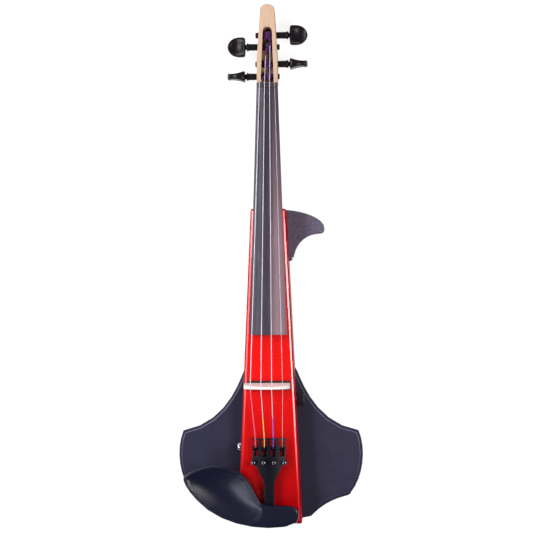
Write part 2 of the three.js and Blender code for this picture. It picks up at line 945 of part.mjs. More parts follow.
// Places of each string where it bends
const stringRadius = { g: strings.gRadius, d: strings.dRadius, a: strings.aRadius, e: strings.eRadius };
const tailpieceTop = (x) =>
  tailpiece.under + tailpiece.thick - tailpiece.crownRadius + Math.sqrt(tailpiece.crownRadius ** 2 - x ** 2);
const nutX = (name) => strings.nutSpread * placeShares[name];
const bridgeOut = (name) => strings.bridgeSpread * placeShares[name];
const tailX = (name) => strings.tailSpread * placeShares[name];
const forkZ = (name) => tailpieceTop(tailX(name)) - tuner.prongFoot;

// The turns on a peg: the string comes in over the top, and its end goes into a hole in the peg
const windingStart = { g: winding.gStart, d: winding.dStart, a: winding.aStart, e: winding.eStart };
const windingLoops = { g: winding.gLoops, d: winding.dLoops, a: winding.aLoops, e: winding.eLoops };
const nutEnd = (name) => new THREE.Vector3(nutX(name), nutBack, strings.nutHeight - crownDrop(nutX(name)));

function windingPlan(name) {
  const axis = pegAxis(name);
  const across = windingStart[name] < 0 ? 1 : -1;
  const width = windingLoops[name] * winding.pitch;
  const endX = windingStart[name] + across * width;
  const thickest = Math.max(
    ...[windingStart[name], endX].map((x) => pegRadiusAt(pegs.tipReach + x * pegSide[name])),
  );
  const radius = thickest + clear + winding.radius;
  const from = nutEnd(name);
  const distance = Math.hypot(axis.y - from.y, axis.z - from.z);
  const slope = Math.atan2(axis.z - from.z, axis.y - from.y) + Math.asin(radius / distance);
  return { axis, across, endX, radius, slope, reach: Math.sqrt(distance ** 2 - radius ** 2) };
}

function windingPoints(name) {
  const { axis, across, radius, slope } = windingPlan(name);
  const startAngle = -slope;
  const at = (angle, distance, x) =>
    new THREE.Vector3(x, axis.y + distance * Math.sin(angle), axis.z + distance * Math.cos(angle));
  const forward = (angle) => new THREE.Vector3(0, Math.cos(angle), -Math.sin(angle));
  const steps = windingLoops[name] * winding.steps;
  const loops = Array.from({ length: steps + 1 }, (_, i) =>
    at(
      startAngle + (turn * i) / winding.steps,
      radius,
      windingStart[name] + (across * winding.pitch * i) / winding.steps,
    ),
  );
  const leadIn = loops[0].clone().addScaledVector(forward(startAngle), -2 * winding.radius);
  const last = loops[steps];
  const inward = at(startAngle, -1, 0).sub(at(startAngle, 0, 0));
  const bend = Array.from({ length: winding.bendSteps }, (_, i) => {
    const angle = (Math.PI * half * (i + 1)) / winding.bendSteps;
    return last
      .clone()
      .addScaledVector(forward(startAngle), winding.bend * Math.sin(angle))
      .addScaledVector(inward, winding.bend * (1 - Math.cos(angle)));
  });
  const end = bend[bend.length - 1].clone().addScaledVector(inward, 2 * winding.radius);
  return [leadIn, ...loops, ...bend, end];
}

// Rings of a tube that follows points, each ring turned as little as the bend allows
function tubeRings(points, radius, count) {
  let normal = new THREE.Vector3(1, 0, 0);
  return points.map((point, i) => {
    const before = points[Math.max(i - 1, 0)];
    const after = points[Math.min(i + 1, points.length - 1)];
    const forward = after.clone().sub(before).normalize();
    normal = normal.clone().addScaledVector(forward, -normal.dot(forward)).normalize();
    const side = forward.clone().cross(normal);
    return Array.from({ length: count }, (_, k) => {
      const angle = (turn * k) / count;
      return point
        .clone()
        .addScaledVector(normal, radius * Math.cos(angle))
        .addScaledVector(side, radius * Math.sin(angle))
        .toArray();
    });
  });
}

function leastGap(rings, apart) {
  let least = Infinity;
  for (let i = 0; i < rings.length; i++) {
    for (let j = i + apart; j < rings.length; j++) {
      for (const [x, y, z] of rings[i]) {
        for (const [u, v, w] of rings[j]) least = Math.min(least, Math.hypot(x - u, y - v, z - w));
      }
    }
  }
  return least;
}

// Pegs: a turned shaft with a bead, and a hollowed thumb piece
const thumbShares = [
  [0, 0.24], [0.01, 0.5], [0.05, 0.82], [0.12, 0.95], [0.28, 1], [0.52, 0.96], [0.74, 0.8], [0.9, 0.5],
  [1, 0.12],
];
const thumbSideShares = [
  [0, 0.45], [0.03, 0.9], [0.08, 1], [0.16, 0.84], [0.32, 0.56], [0.5, 0.44], [0.66, 0.44], [0.82, 0.52],
  [0.95, 0.6], [1, 0.5],
];
const bothSides = (shares, length, width) => {
  const upper = shares.map(([along, out]) => [along * length, out * width]);
  return [...upper.map(([along, out]) => [along, -out]), ...upper.reverse()];
};

function makePeg(name) {
  const ring = pegs.tipReach + pegs.ringAt;
  const bead = ring + pegs.beadWidth;
  const thumb = bead + pegs.neckWidth;
  const shaft = turned(
    [
      [0, 0],
      [pegs.tipRadius - pegs.tipChamfer, 0],
      [pegs.tipRadius, pegs.tipChamfer],
      [pegs.ringRadius, ring],
      [pegs.beadRadius, ring + pegs.beadWidth * half],
      [pegs.neckRadius, bead],
      [pegs.neckRadius, thumb + pegs.beadWidth * half],
      [0, thumb + pegs.beadWidth * half],
    ],
    sides.round,
  );
  const face = slab(
    bothSides(thumbShares, pegs.thumbLength, pegs.thumbHalf),
    -pegs.thumbThick,
    pegs.thumbThick,
  );
  const side = slab(
    bothSides(thumbSideShares, pegs.thumbLength, pegs.thumbThick),
    -pegs.thumbHalf,
    pegs.thumbHalf,
  ).rotateX(Math.PI / 2);
  const place = (geometry) => {
    if (thumbTurned[name]) geometry.rotateX(Math.PI / 2);
    geometry.translate(-pegs.tipReach, 0, 0);
    if (pegSide[name] < 0) geometry.rotateZ(Math.PI);
    const axis = pegAxis(name);
    return geometry.translate(0, axis.y, axis.z);
  };
  const thumbSolid = solid(place(face.translate(thumb, 0, 0))).intersect(
    solid(place(side.translate(thumb, 0, 0))),
  );
  const { axis, endX, slope } = windingPlan(name);
  const hole = alongZ(rod(winding.hole, pegs.tipRadius * half, pegs.ringRadius + overrun, sides.thread))
    .translate(0, winding.bend, 0)
    .rotateX(slope)
    .translate(endX, axis.y, axis.z);
  return cut(solid(place(alongX(shaft))).add(thumbSolid), hole);
}
for (const name of stringNames) {
  add(`peg_${name}`, makePeg(name), finishes.ebony);
  const rings = tubeRings(windingPoints(name), winding.radius, winding.sides);
  add(`winding_${name}`, loft(rings), finishes.silk);
  console.log(`winding_${name}: least gap to itself ${leastGap(rings, winding.steps * half).toFixed(2)} mm`);
}

// Strings: from the turns on the peg over the nut and the bridge into the tailpiece
function stringCorners(name) {
  const { radius, slope, reach } = windingPlan(name);
  const from = nutEnd(name);
  const keepOut = radius + winding.radius + clear + stringRadius[name];
  const stop = reach - Math.sqrt(keepOut ** 2 - radius ** 2);
  const pegEnd = new THREE.Vector3(
    THREE.MathUtils.lerp(from.x, windingStart[name], stop / reach),
    from.y + stop * Math.cos(slope),
    from.z + stop * Math.sin(slope),
  );
  const barY = tailpiece.headY - tailpiece.barWidth * half;
  return [
    pegEnd,
    from,
    new THREE.Vector3(nutX(name), nutFront, from.z),
    new THREE.Vector3(
      strings.bridgeAside + bridgeOut(name),
      0,
      strings.bridgeHeight - crownDrop(bridgeOut(name)),
    ),
    new THREE.Vector3(tailX(name), barY, tailpieceTop(tailX(name)) + stringRadius[name] + clear),
    new THREE.Vector3(tailX(name), tuner.prongY - tuner.prongDepth, forkZ(name)),
  ];
}
const stringTube = (name, gap = 0) => cornered(stringCorners(name), stringRadius[name] + gap);
for (const name of stringNames) add(`string_${name}`, stringTube(name), finishes.steel);
const stringGrooves = stringNames.map((name) => stringTube(name, clear));

const nutHalfWidth = boardHalf(strings.length);
add(
  "nut",
  cut(
    solid(
      loft(
        [nutFront, nutBack].map((y) =>
          archRing(
            y,
            nutHalfWidth,
            fingerboard.underNut,
            (x) => strings.nutHeight - crownDrop(x),
            fingerboard.arcSteps,
          ),
        ),
      ),
    ),
    ...stringGrooves,
  ),
  finishes.ebony,
);

// Bridge on its pickup bed
const roundedBox = (x0, x1, y0, y1, radius, steps) =>
  roundCorners(
    [
      [x1 - radius, y0 + radius],
      [x1 - radius, y1 - radius],
      [x0 + radius, y1 - radius],
      [x0 + radius, y0 + radius],
    ],
    radius,
    steps,
  );
const pickupFoot = body.thick + clear;
const pickupTop = pickupFoot + pickup.thick;
add(
  "pickup_bed",
  slab(
    roundedBox(-pickup.half, pickup.half, pickup.tailY, pickup.headY, pickup.corner, bridge.roundSteps),
    pickupFoot,
    pickupTop,
  ),
  finishes.blackPlastic,
);

function makeBridge() {
  const foot = pickupTop + clear;
  const crownSide = strings.bridgeHeight - crownDrop(bridge.crownHalf);
  const shoulder = new THREE.QuadraticBezierCurve(
    new THREE.Vector2(bridge.crownHalf, crownSide),
    new THREE.Vector2(bridge.footHalf, crownSide - (bridge.footHalf - bridge.crownHalf) * half),
    new THREE.Vector2(bridge.footHalf, foot + bridge.sideHeight),
  ).getPoints(bridge.roundSteps);
  const arch = Array.from({ length: bridge.arcSteps + 1 }, (_, i) => {
    const x = THREE.MathUtils.lerp(-bridge.crownHalf, bridge.crownHalf, i / bridge.arcSteps);
    return [x, strings.bridgeHeight - crownDrop(x)];
  });
  const right = shoulder.slice(1).map((point) => [point.x, point.y]);
  const left = [...right].reverse().map(([x, z]) => [-x, z]);
  const outline = [...left, ...arch, ...right, [bridge.footHalf, foot], [-bridge.footHalf, foot]];
  const thickAt = (z) =>
    THREE.MathUtils.mapLinear(z, foot, strings.bridgeHeight, bridge.footThick, bridge.crownThick);
  const tailFace = outline.map(([x, z]) => [x, bridge.tailFaceY, z]);
  const headFace = outline.map(([x, z]) => [x, bridge.tailFaceY + thickAt(z), z]);
  return cut(solid(loft([tailFace, headFace])).translate([strings.bridgeAside, 0, 0]), ...stringGrooves);
}
add("bridge", makeBridge(), finishes.bridgeMaple);

// Tailpiece: windows for the four levers, holes for their screws and for the cord
const tailNeckShares = [[0, 1], [0.3, 0.69], [0.63, 0.23], [1, 0]];
const lobeDegrees = [-90, -55, -20, 10, 40];
const screwX = (name) => tuner.spread * placeShares[name];
const hubZ = tailpiece.under + tuner.hubUp;

function tailpieceOutline() {
  const neckPart = tailNeckShares.map(([along, out]) => [
    THREE.MathUtils.lerp(tailpiece.stemHalf, tailpiece.waistHalf, out),
    THREE.MathUtils.lerp(tailpiece.waistY, tailpiece.stemY, along),
  ]);
  const lobe = lobeDegrees.map((angle) => [
    tuner.spread * half + tailpiece.lobeRadius * Math.cos(angle * degree),
    tuner.screwY + tailpiece.lobeRadius * Math.sin(angle * degree),
  ]);
  const right = [
    [tailpiece.endHalf, tailpiece.tailY],
    [tailpiece.stemHalf, tailpiece.flareY],
    ...neckPart.reverse(),
    ...lobe,
    [tailpiece.slotEndHalf, tailpiece.slotEndY],
    [tailpiece.headHalf, tailpiece.headY],
  ];
  return [...right, ...mirrored(right)];
}

function makeTailpiece() {
  const widest = tailpiece.headHalf + overrun;
  const crown = loft(
    [tailpiece.tailY - overrun, tailpiece.headY + overrun].map((y) =>
      archRing(y, widest, tailpiece.under - overrun, tailpieceTop, fingerboard.arcSteps),
    ),
  );
  const top = tailpiece.under + tailpiece.thick + overrun;
  const plan = slab(tailpieceOutline(), tailpiece.under, top);
  const windowStart = tailpiece.barWidth - tailpiece.headY;
  const windowOutline = (name) =>
    roundEnded(
      tailpiece.slotHeadHalf,
      tailpiece.slotTailHalf,
      windowStart,
      -tailpiece.slotEndY,
      sides.thread,
    ).map(([x, along]) => {
      const share = (along - windowStart) / (-tailpiece.slotEndY - windowStart);
      return [tailX(name) * (1 - tailpiece.slotLeanShare * share) + x, -along];
    });
  const openings = stringNames.flatMap((name) => [
    slab(windowOutline(name), tailpiece.under - overrun, top),
    alongX(rod(tuner.hubRadius + clear, -tuner.hubHalf - clear, tuner.hubHalf + clear)).translate(
      tailX(name),
      tuner.hubY,
      hubZ,
    ),
    alongZ(rod(tuner.shankRadius + clear, tailpiece.under - overrun, top)).translate(
      screwX(name),
      tuner.screwY,
      0,
    ),
    stringTube(name, clear),
  ]);
  const cordHoles = [-1, 1].map((side) =>
    alongZ(rod(tailCord.radius + clear, tailpiece.under - overrun, top)).translate(
      side * tailCord.spreadHalf,
      tailCord.anchorY,
      0,
    ),
  );
  return cut(solid(plan).intersect(solid(crown)), ...openings, ...cordHoles);
}
add("tailpiece", makeTailpiece(), finishes.blackPlastic);

// Fine tuner levers: a hub in the tailpiece, two prongs for the string end, an arm under the screw
const armTop = tailpiece.under - clear - tuner.armDrop;

function makeLever(name) {
  const x = tailX(name);
  const prongBack = tuner.prongY - tuner.prongDepth;
  const prongTop = tailpieceTop(x) + tuner.prongRise;
  const prong = [
    [tuner.hubY, hubZ],
    [tuner.prongY, hubZ],
    [tuner.prongY, prongTop],
    [prongBack, prongTop],
    [prongBack, hubZ + tuner.hubRadius],
  ];
  const prongs = [-1, 1].map((side) =>
    extrudedAcross(prong, tuner.prongWidth * half).translate(
      x + side * (tuner.prongGapHalf + tuner.prongWidth * half),
      0,
      0,
    ),
  );
  const wide = tuner.armWidth * half;
  const arm = slab(
    [
      [x + wide, tuner.hubY],
      [x - wide, tuner.hubY],
      [screwX(name) - wide, tuner.armEndY],
      [screwX(name) + wide, tuner.armEndY],
    ],
    armTop - tuner.armThick,
    armTop,
  );
  const hub = alongX(rod(tuner.hubRadius, -tuner.hubHalf, tuner.hubHalf)).translate(x, tuner.hubY, hubZ);
  return join(hub, arm, ...prongs);
}
for (const name of stringNames) add(`tuner_lever_${name}`, makeLever(name), finishes.blackSteel);

// Fluted heads: the fine tuner screws and the volume knob
function fluted(radius, flutes, fluteDepth, from, to, edge) {
  const ring = (outer, along) =>
    Array.from({ length: flutes * 2 }, (_, i) => {
      const angle = (Math.PI * i) / flutes;
      const reach = outer - (i % 2) * fluteDepth;
      return [reach * Math.cos(angle), reach * Math.sin(angle), along];
    });
  return loft([ring(radius, from), ring(radius, to - edge), ring(radius - edge, to)], flatFaces);
}

for (const name of stringNames) {
  const x = screwX(name);
  const headFoot = tailpieceTop(Math.abs(x) - tuner.headRadius) + clear;
  const headTop = headFoot + tuner.headHeight;
  const head = fluted(tuner.headRadius, tuner.flutes, tuner.fluteDepth, headFoot, headTop, tuner.fluteDepth);
  const shank = alongZ(rod(tuner.shankRadius, armTop + clear, headFoot + tuner.headHeight * half));
  add(`tuner_screw_${name}`, join(head, shank).translate([x, tuner.screwY, 0]), finishes.blackSteel);
}

// Tail cord: out of the tailpiece, over the saddle and round the end button
const saddleTop = body.thick + saddle.rise;
const cordOff = clear + tailCord.radius;
const buttonHeadStart = body.tailY - cordOff - cordOff;

function cordPoints() {
  const bendRadius = tailpiece.under - saddleTop - cordOff;
  const quarter = (make) =>
    Array.from({ length: tailCord.bendSteps + 1 }, (_, i) => make((Math.PI * half * i) / tailCord.bendSteps));
  const out = tailCord.spreadHalf;
  const side = [
    [out, tailCord.anchorY, tailpiece.under + tailCord.anchorDepth],
    ...quarter((angle) => [
      out,
      tailCord.anchorY - bendRadius * (1 - Math.cos(angle)),
      tailpiece.under - bendRadius * Math.sin(angle),
    ]),
    ...quarter((angle) => [
      out,
      body.tailY - cordOff * Math.sin(angle),
      saddleTop + cordOff * Math.cos(angle),
    ]),
  ];
  const loopRadius = button.shankRadius + cordOff;
  const loop = Array.from({ length: tailCord.loopSteps + 1 }, (_, i) => {
    const angle = (-Math.PI * i) / tailCord.loopSteps;
    return [loopRadius * Math.cos(angle), body.tailY - cordOff, button.height + loopRadius * Math.sin(angle)];
  });
  const back = [...side].reverse().map(([x, y, z]) => [-x, y, z]);
  return [...side, ...loop, ...back].map((point) => new THREE.Vector3(...point));
}
add("tail_cord", loft(tubeRings(cordPoints(), tailCord.radius, sides.thread)), finishes.cord);

add(
  "end_button",
  turned(
    [
      [0, buttonHeadStart - button.headThick],
      [button.headRadius - button.edge, buttonHeadStart - button.headThick],
      [button.headRadius, buttonHeadStart - button.headThick + button.edge],
      [button.headRadius, buttonHeadStart],
      [button.shankRadius, buttonHeadStart],
      [button.shankRadius, button.shankEndY],
      [0, button.shankEndY],
    ],
    sides.round,
  ).translate(0, 0, button.height),
  finishes.ebony,
);

const saddleHead = body.tailY + saddle.length;
add(
  "saddle",
  extrudedAcross(
    [
      [body.tailY, body.thick - saddle.sunk + clear],
      [saddleHead, body.thick - saddle.sunk + clear],
      [saddleHead, saddleTop - saddle.rise * half],
      [saddleHead - saddle.rise * half, saddleTop],
      [body.tailY, saddleTop],
    ],
    saddle.half,
  ),
  finishes.ebony,
);

// Chinrest: rounded plate with a sweeping hollow for the chin, and a foot each side of the tailpiece
const chinrestShares = [
  [0, 0.18], [0.062, 0.101], [0.152, 0.038], [0.249, 0], [0.339, 0.011], [0.435, 0.053],
  [0.495, 0.107], [0.554, 0.211], [0.599, 0.342], [0.636, 0.48], [0.673, 0.603], [0.71, 0.63],
  [0.784, 0.642], [0.896, 0.637], [0.941, 0.647], [0.985, 0.692], [1, 0.745], [0.995, 0.837],
  [0.979, 0.909], [0.874, 0.981], [0.735, 1], [0.597, 0.982], [0.459, 0.929], [0.329, 0.841],
  [0.208, 0.71], [0.117, 0.56], [0.057, 0.432], [0.017, 0.32], [0, 0.24],
];
const cupShares = [
  [0.016, 0.195], [0.07, 0.128], [0.158, 0.066], [0.249, 0.029], [0.334, 0.039], [0.427, 0.08],
  [0.483, 0.132], [0.54, 0.23], [0.584, 0.356], [0.621, 0.494], [0.658, 0.618], [0.683, 0.71],
  [0.68, 0.81], [0.645, 0.9], [0.57, 0.942], [0.464, 0.899], [0.337, 0.813], [0.218, 0.685],
  [0.129, 0.54], [0.07, 0.416], [0.031, 0.308],
];
const chinrestTop = chinrest.under + chinrest.thick;
const hookTop = body.thick + clear + clamp.corkThick + clear + clamp.plateThick;

const chinrestOutline = (shares) =>
  shares
    .map(([across, along]) => [
      THREE.MathUtils.lerp(chinrest.left, chinrest.right, across),
      THREE.MathUtils.lerp(chinrest.headY, chinrest.tailY, along),
    ])
    .reverse();

// A dish with the hollow's outline: its rings close in on the lowest place as they go down
function dish(startShare, drop, z, above) {
  const rim = chinrestOutline(cupShares);
  const ringAt = (share, down) =>
    rim.map(([x, y]) => [
      THREE.MathUtils.lerp(chinrest.cupX, x, startShare * share),
      THREE.MathUtils.lerp(chinrest.cupY, y, startShare * share),
      z - down,
    ]);
  const rings = Array.from({ length: chinrest.cupSteps }, (_, i) => {
    const share = (i + 1) / chinrest.cupSteps;
    return ringAt(share, drop * (1 - share ** 2));
  });
  return loft([...rings, ringAt(1, -above)], flatFaces);
}

function makeChinrest() {
  const outline = chinrestOutline(chinrestShares);
  const rounding = Array.from({ length: chinrest.edgeSteps + 1 }, (_, i) => {
    const angle = (Math.PI * half * i) / chinrest.edgeSteps;
    return [chinrest.edge * (1 - Math.sin(angle)), chinrest.edge * (1 - Math.cos(angle))];
  });
  const ring = (inward, z) => inset(outline, inward).map(([x, y]) => [x, y, z]);
  const plateSolid = loft(
    [
      ...rounding.map(([inward, up]) => ring(inward, chinrest.under + up)),
      ...[...rounding].reverse().map(([inward, down]) => ring(inward, chinrestTop - down)),
    ],
    flatFaces,
  );
  const feet = [-1, 1].map((side) =>
    block(
      Math.min(side * chinrest.footInnerX, side * chinrest.footOuterX),
      Math.max(side * chinrest.footInnerX, side * chinrest.footOuterX),
      chinrest.footTailY,
      chinrest.footHeadY,
      hookTop + clear,
      chinrest.under + chinrest.edge,
    ),
  );
  const bowl = dish(chinrest.bowlStartShare, chinrest.bowlDrop, chinrest.under, chinrest.edge);
  const hollow = dish(1, chinrest.cupDepth, chinrestTop, overrun);
  return cut(join(plateSolid, bowl, ...feet), hollow);
}
add("chinrest", makeChinrest(), finishes.blackPlastic);

// Chinrest clamp: cork pads, hook plates on the deck, a foot in the back, and two turned barrels
const corkFoot = body.thick + clear;
const hookFoot = hookTop - clamp.plateThick;
const clampPlateFoot = clamp.rebate - clear - clamp.corkThick - clear - clamp.plateThick;
const clampPlateTop = clampPlateFoot + clamp.plateThick;
for (const [side, name] of [[-1, "bass"], [1, "treble"]]) {
  const x = side * clamp.rodX;
  const [x0, x1] = [x - clamp.plateHalf, x + clamp.plateHalf];
  add(
    `cork_${name}`,
    block(x0, x1, clamp.corkTailY, clamp.plateHeadY, corkFoot, corkFoot + clamp.corkThick),
    finishes.cork,
  );
  add(
    `clamp_hook_${name}`,
    join(
      block(x0, x1, rodY - clamp.rodRadius, clamp.plateHeadY, hookFoot, hookTop),
      alongZ(rod(clamp.rodRadius, clamp.upperRodEnd, hookTop - clear)).translate(x, rodY, 0),
    ),
    finishes.steel,
  );
  const keyReach = clamp.barrelRadius + overrun;
  add(
    `clamp_barrel_${name}`,
    cut(
      solid(alongZ(rod(clamp.barrelRadius, clamp.barrelBottom, clamp.barrelTop, sides.round))),
      alongZ(rod(clamp.barrelBore, clamp.barrelBottom - overrun, clamp.barrelTop + overrun)),
      alongX(rod(clamp.keyRadius, -keyReach, keyReach, sides.thread)).translate(
        0,
        0,
        (clamp.barrelBottom + clamp.barrelTop) * half,
      ),
    ).translate([x, rodY, 0]),
    finishes.steel,
  );
}
add(
  "clamp_foot",
  join(
    block(
      -clamp.footHalf,
      clamp.footHalf,
      rodY - clamp.rodRadius,
      clamp.plateHeadY,
      clampPlateFoot,
      clampPlateTop,
    ),
    ...[-1, 1].map((side) =>
      alongZ(rod(clamp.rodRadius, clampPlateFoot + clear, clamp.lowerRodEnd)).translate(
        side * clamp.rodX,
        rodY,
        0,
      ),
    ),
  ),
  finishes.steel,
);
add(
  "foot_cork",
  block(
    -clamp.footHalf,
    clamp.footHalf,
    clamp.corkTailY,
    clamp.plateHeadY,
    clampPlateTop + clear,
    clampPlateTop + clear + clamp.corkThick,
  ),
  finishes.cork,
);

// Output jack in the bass wall, volume control in the treble wall
const jackFace = -halfAt(jack.y) - jack.wallGap;
const jackEnd = jackFace - jack.ferruleLength;
add(
  "output_jack",
  cut(
    join(
      alongX(rod(jack.ferruleRadius, jackEnd, jackFace, sides.fine)),
      alongX(rod(jack.barrelRadius, jackFace - jack.wallGap, jack.innerX, sides.fine)),
    ),
    alongX(rod(jack.boreRadius, jackEnd - overrun, jackEnd + jack.boreDepth, sides.fine)),
  ).translate([0, jack.y, jack.z]),
  finishes.steel,
);

const potWall = halfAt(pot.y);
const knobStart = potWall + knob.wallGap;
const potFace = cavity.potRight - pot.bodyGap;
add(
  "volume_pot",
  join(
    alongX(rod(pot.bodyRadius, potFace - pot.bodyLength, potFace, sides.fine)),
    alongX(rod(pot.bushRadius, potFace - pot.bodyGap, potWall - pot.bodyGap)),
    alongX(rod(pot.shaftRadius, potFace, potWall + pot.shaftOut)),
  ).translate([0, pot.y, pot.z]),
  finishes.steel,
);
const knobShape = fluted(
  knob.radius,
  knob.flutes,
  knob.fluteDepth,
  knobStart,
  knobStart + knob.length,
  knob.edge,
).rotateY(Math.PI / 2);
add(
  "volume_knob",
  cut(
    solid(knobShape),
    alongX(rod(pot.shaftRadius + clear, knobStart - overrun, knobStart + knob.boreDepth)),
  ).translate([0, pot.y, pot.z]),
  finishes.blackPlastic,
);

// Battery on the back cover, board under the roof of the pocket, and the two leads to it
const batteryFoot = cover.thick + clear;
const batteryTail = battery.headY - battery.length;
add(
  "battery",
  join(
    block(
      -battery.half,
      battery.half,
      batteryTail,
      battery.headY,
      batteryFoot,
      batteryFoot + battery.thick,
    ),
    ...[-1, 1].map((side) =>
      rod(battery.studRadius, batteryTail - battery.studLength, batteryTail + battery.studLength).translate(
        side * battery.studX,
        0,
        batteryFoot + battery.thick * half,
      ),
    ),
  ),
  finishes.blackSteel,
);

const boardTop = cavity.roof - clear;
const boardFoot = boardTop - board.thick;
const chipShares = [[-0.6, -0.05, 0.2, 0.45], [0.1, 0.65, 0.3, 0.5], [-0.1, 0.5, 0.6, 0.85]];
add(
  "preamp_board",
  join(
    block(-board.half, board.half, board.tailY, board.headY, boardFoot, boardTop),
    ...chipShares.map(([x0, x1, y0, y1]) =>
      block(
        x0 * board.half,
        x1 * board.half,
        THREE.MathUtils.lerp(board.tailY, board.headY, y0),
        THREE.MathUtils.lerp(board.tailY, board.headY, y1),
        boardFoot - board.chipHeight,
        boardFoot + board.thick * half,
      ),
    ),
  ),
  finishes.boardGreen,
);

function leadTube(from, to, shares) {
  const points = shares.map((share) => {
    const place = share.map((part, axis) => THREE.MathUtils.lerp(from[axis], to[axis], part));
    return new THREE.Vector3(...place);
  });
  return tube(new THREE.CatmullRomCurve3(points), lead.radius, lead.steps, sides.thread);
}
const pickupLeadShares = [
  [0, 0, 0], [0, 0, 0.49], [0, 0.024, 1.18], [0, 0.268, 1.716], [0, 0.659, 1.81], [0, 0.927, 1.57],
  [0, 1, 1.225], [0, 1, 1],
];
const jackLeadShares = [
  [0, 0, 0], [0.316, 0, 0], [0.744, 0.184, 0.064], [0.95, 0.65, 0.2], [1, 0.98, 0.55], [1, 1, 0.8], [1, 1, 1],
];
add(
  "pickup_lead",
  leadTube(
    [lead.x, lead.y, body.thick],
    [lead.x, board.headY - lead.boardInset, boardFoot - clear],
    pickupLeadShares,
  ),
  finishes.cord,
);
add(
  "jack_lead",
  leadTube(
    [jack.innerX + clear, jack.y, jack.z],
    [lead.jackEndX, board.tailY + lead.boardInset, boardFoot - clear],
    jackLeadShares,
  ),
  finishes.cord,
);

export default violin;
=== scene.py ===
from contextlib import contextmanager
from math import asin, atan2, copysign, cos, degrees, pi, radians, sin, sqrt, tan

import bmesh
import bpy
import numpy as np
from mathutils import Matrix, Vector


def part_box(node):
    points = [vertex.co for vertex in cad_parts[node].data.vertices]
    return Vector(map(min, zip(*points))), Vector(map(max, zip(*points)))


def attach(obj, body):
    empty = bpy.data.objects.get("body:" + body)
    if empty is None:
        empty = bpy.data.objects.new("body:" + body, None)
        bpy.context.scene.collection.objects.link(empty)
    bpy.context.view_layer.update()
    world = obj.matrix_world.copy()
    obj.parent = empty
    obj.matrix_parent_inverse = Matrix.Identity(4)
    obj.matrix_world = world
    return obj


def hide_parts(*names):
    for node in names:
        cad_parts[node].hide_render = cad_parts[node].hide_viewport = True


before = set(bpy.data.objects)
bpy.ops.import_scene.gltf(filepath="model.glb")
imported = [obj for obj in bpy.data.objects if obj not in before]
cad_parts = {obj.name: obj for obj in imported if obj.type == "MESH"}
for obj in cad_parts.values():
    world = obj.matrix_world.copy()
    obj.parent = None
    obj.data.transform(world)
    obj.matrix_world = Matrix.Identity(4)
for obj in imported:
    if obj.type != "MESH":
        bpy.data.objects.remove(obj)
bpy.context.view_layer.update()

# Measures of the strings, pegs, peg box and body, in mm
MM = 0.001
CLEAR = 0.3
STRINGS = ("g", "d", "a", "e")
PLACE = {"g": -1 / 2, "d": -1 / 6, "a": 1 / 6, "e": 1 / 2}
RADIUS = {"g": 0.42, "d": 0.38, "a": 0.35, "e": 0.16}
NUT_SPREAD, BRIDGE_SPREAD, TAIL_SPREAD, SCREW_SPREAD = 16.6, 35, 29.2, 33.6
NUT_FRONT, NUT_BACK, NUT_TOP = 325.75, 330.25, 46
BRIDGE_ASIDE, BRIDGE_TOP = -2, 61
RAIL_Y, FORK_Y, SCREW_Y = -55.75, -65.1, -81.2
TAIL_TOP, FORK_DEPTH = 50, 0.8
STRING_CROWN, TAIL_CROWN = 42, 60
STRING_BEND, SILK_THICKNESS = 2.0, 0.16
PEG_OUT = {"g": 7.95, "d": 40.75, "a": 53.75, "e": 21.75}
PEG_SIDE = {"g": -1, "d": -1, "a": 1, "e": 1}
BODY_HEAD, BODY_TAIL, BODY_HEAD_HALF, BODY_TAIL_HALF = 194, -149.3, 19.3, 35
PEG_TIP, PEG_RING, PEG_TIP_RADIUS, PEG_TAPER = 13.3, 33.9, 3.15, 0.6
PEG_END, BEAD_WIDTH, TIP_ROUND = 43.8, 2.2, 0.8
THUMB_FACE_ON = ("d", "a")
BOX_FRONT, BOX_TILT, AXIS_DEPTH = 42, radians(7.5), 8.6
SLOT_HALF, SLOT_LENGTH, SLOT_LIP, SLOT_DEPTH = 7.5, 65, 2, 16
TURN_START = {"g": -1.5, "d": -1.4, "a": 3.0, "e": 3.6}
TURN_COUNT = {"g": 4, "d": 4, "a": 5, "e": 5}
TURN_PITCH, SILK_RADIUS, SILK_BEND = 1.36, 0.45, 0.8
SILK_BEGIN = {"g": 0.06, "d": 0.58, "a": 0.58, "e": 0.64}
SILK_CHANGE = {"a": 0.96, "e": 0.95}
HEAD_SILK_BEGIN = {"g": 0.35, "d": 0.78, "a": 0.8, "e": 0.35}

# Turns, the body that holds everything still, and the middle of the instrument
FULL_TURN, QUARTER = 2 * pi, pi / 2
ROOT = "instrument"
MIDDLE = Vector((0, 131, 30)) * MM


def crown(x, radius):
    """How far a round top has dropped at a place beside its middle."""
    return radius - sqrt(radius**2 - x**2)


def body_half(y):
    """Half the body's width at a place along it."""
    share = (BODY_HEAD - y) / (BODY_HEAD - BODY_TAIL)
    return BODY_HEAD_HALF + (BODY_TAIL_HALF - BODY_HEAD_HALF) * share


def at_nut(name, y=NUT_BACK):
    x = NUT_SPREAD * PLACE[name]
    return Vector((x, y, NUT_TOP - crown(x, STRING_CROWN)))


def at_bridge(name):
    x = BRIDGE_SPREAD * PLACE[name]
    return Vector((BRIDGE_ASIDE + x, 0, BRIDGE_TOP - crown(x, STRING_CROWN)))


def at_rail(name):
    x = TAIL_SPREAD * PLACE[name]
    return Vector((x, RAIL_Y, TAIL_TOP - crown(x, TAIL_CROWN) + RADIUS[name] + CLEAR))


def at_fork(name):
    x = TAIL_SPREAD * PLACE[name]
    return Vector((x, FORK_Y, TAIL_TOP - crown(x, TAIL_CROWN) - FORK_DEPTH))


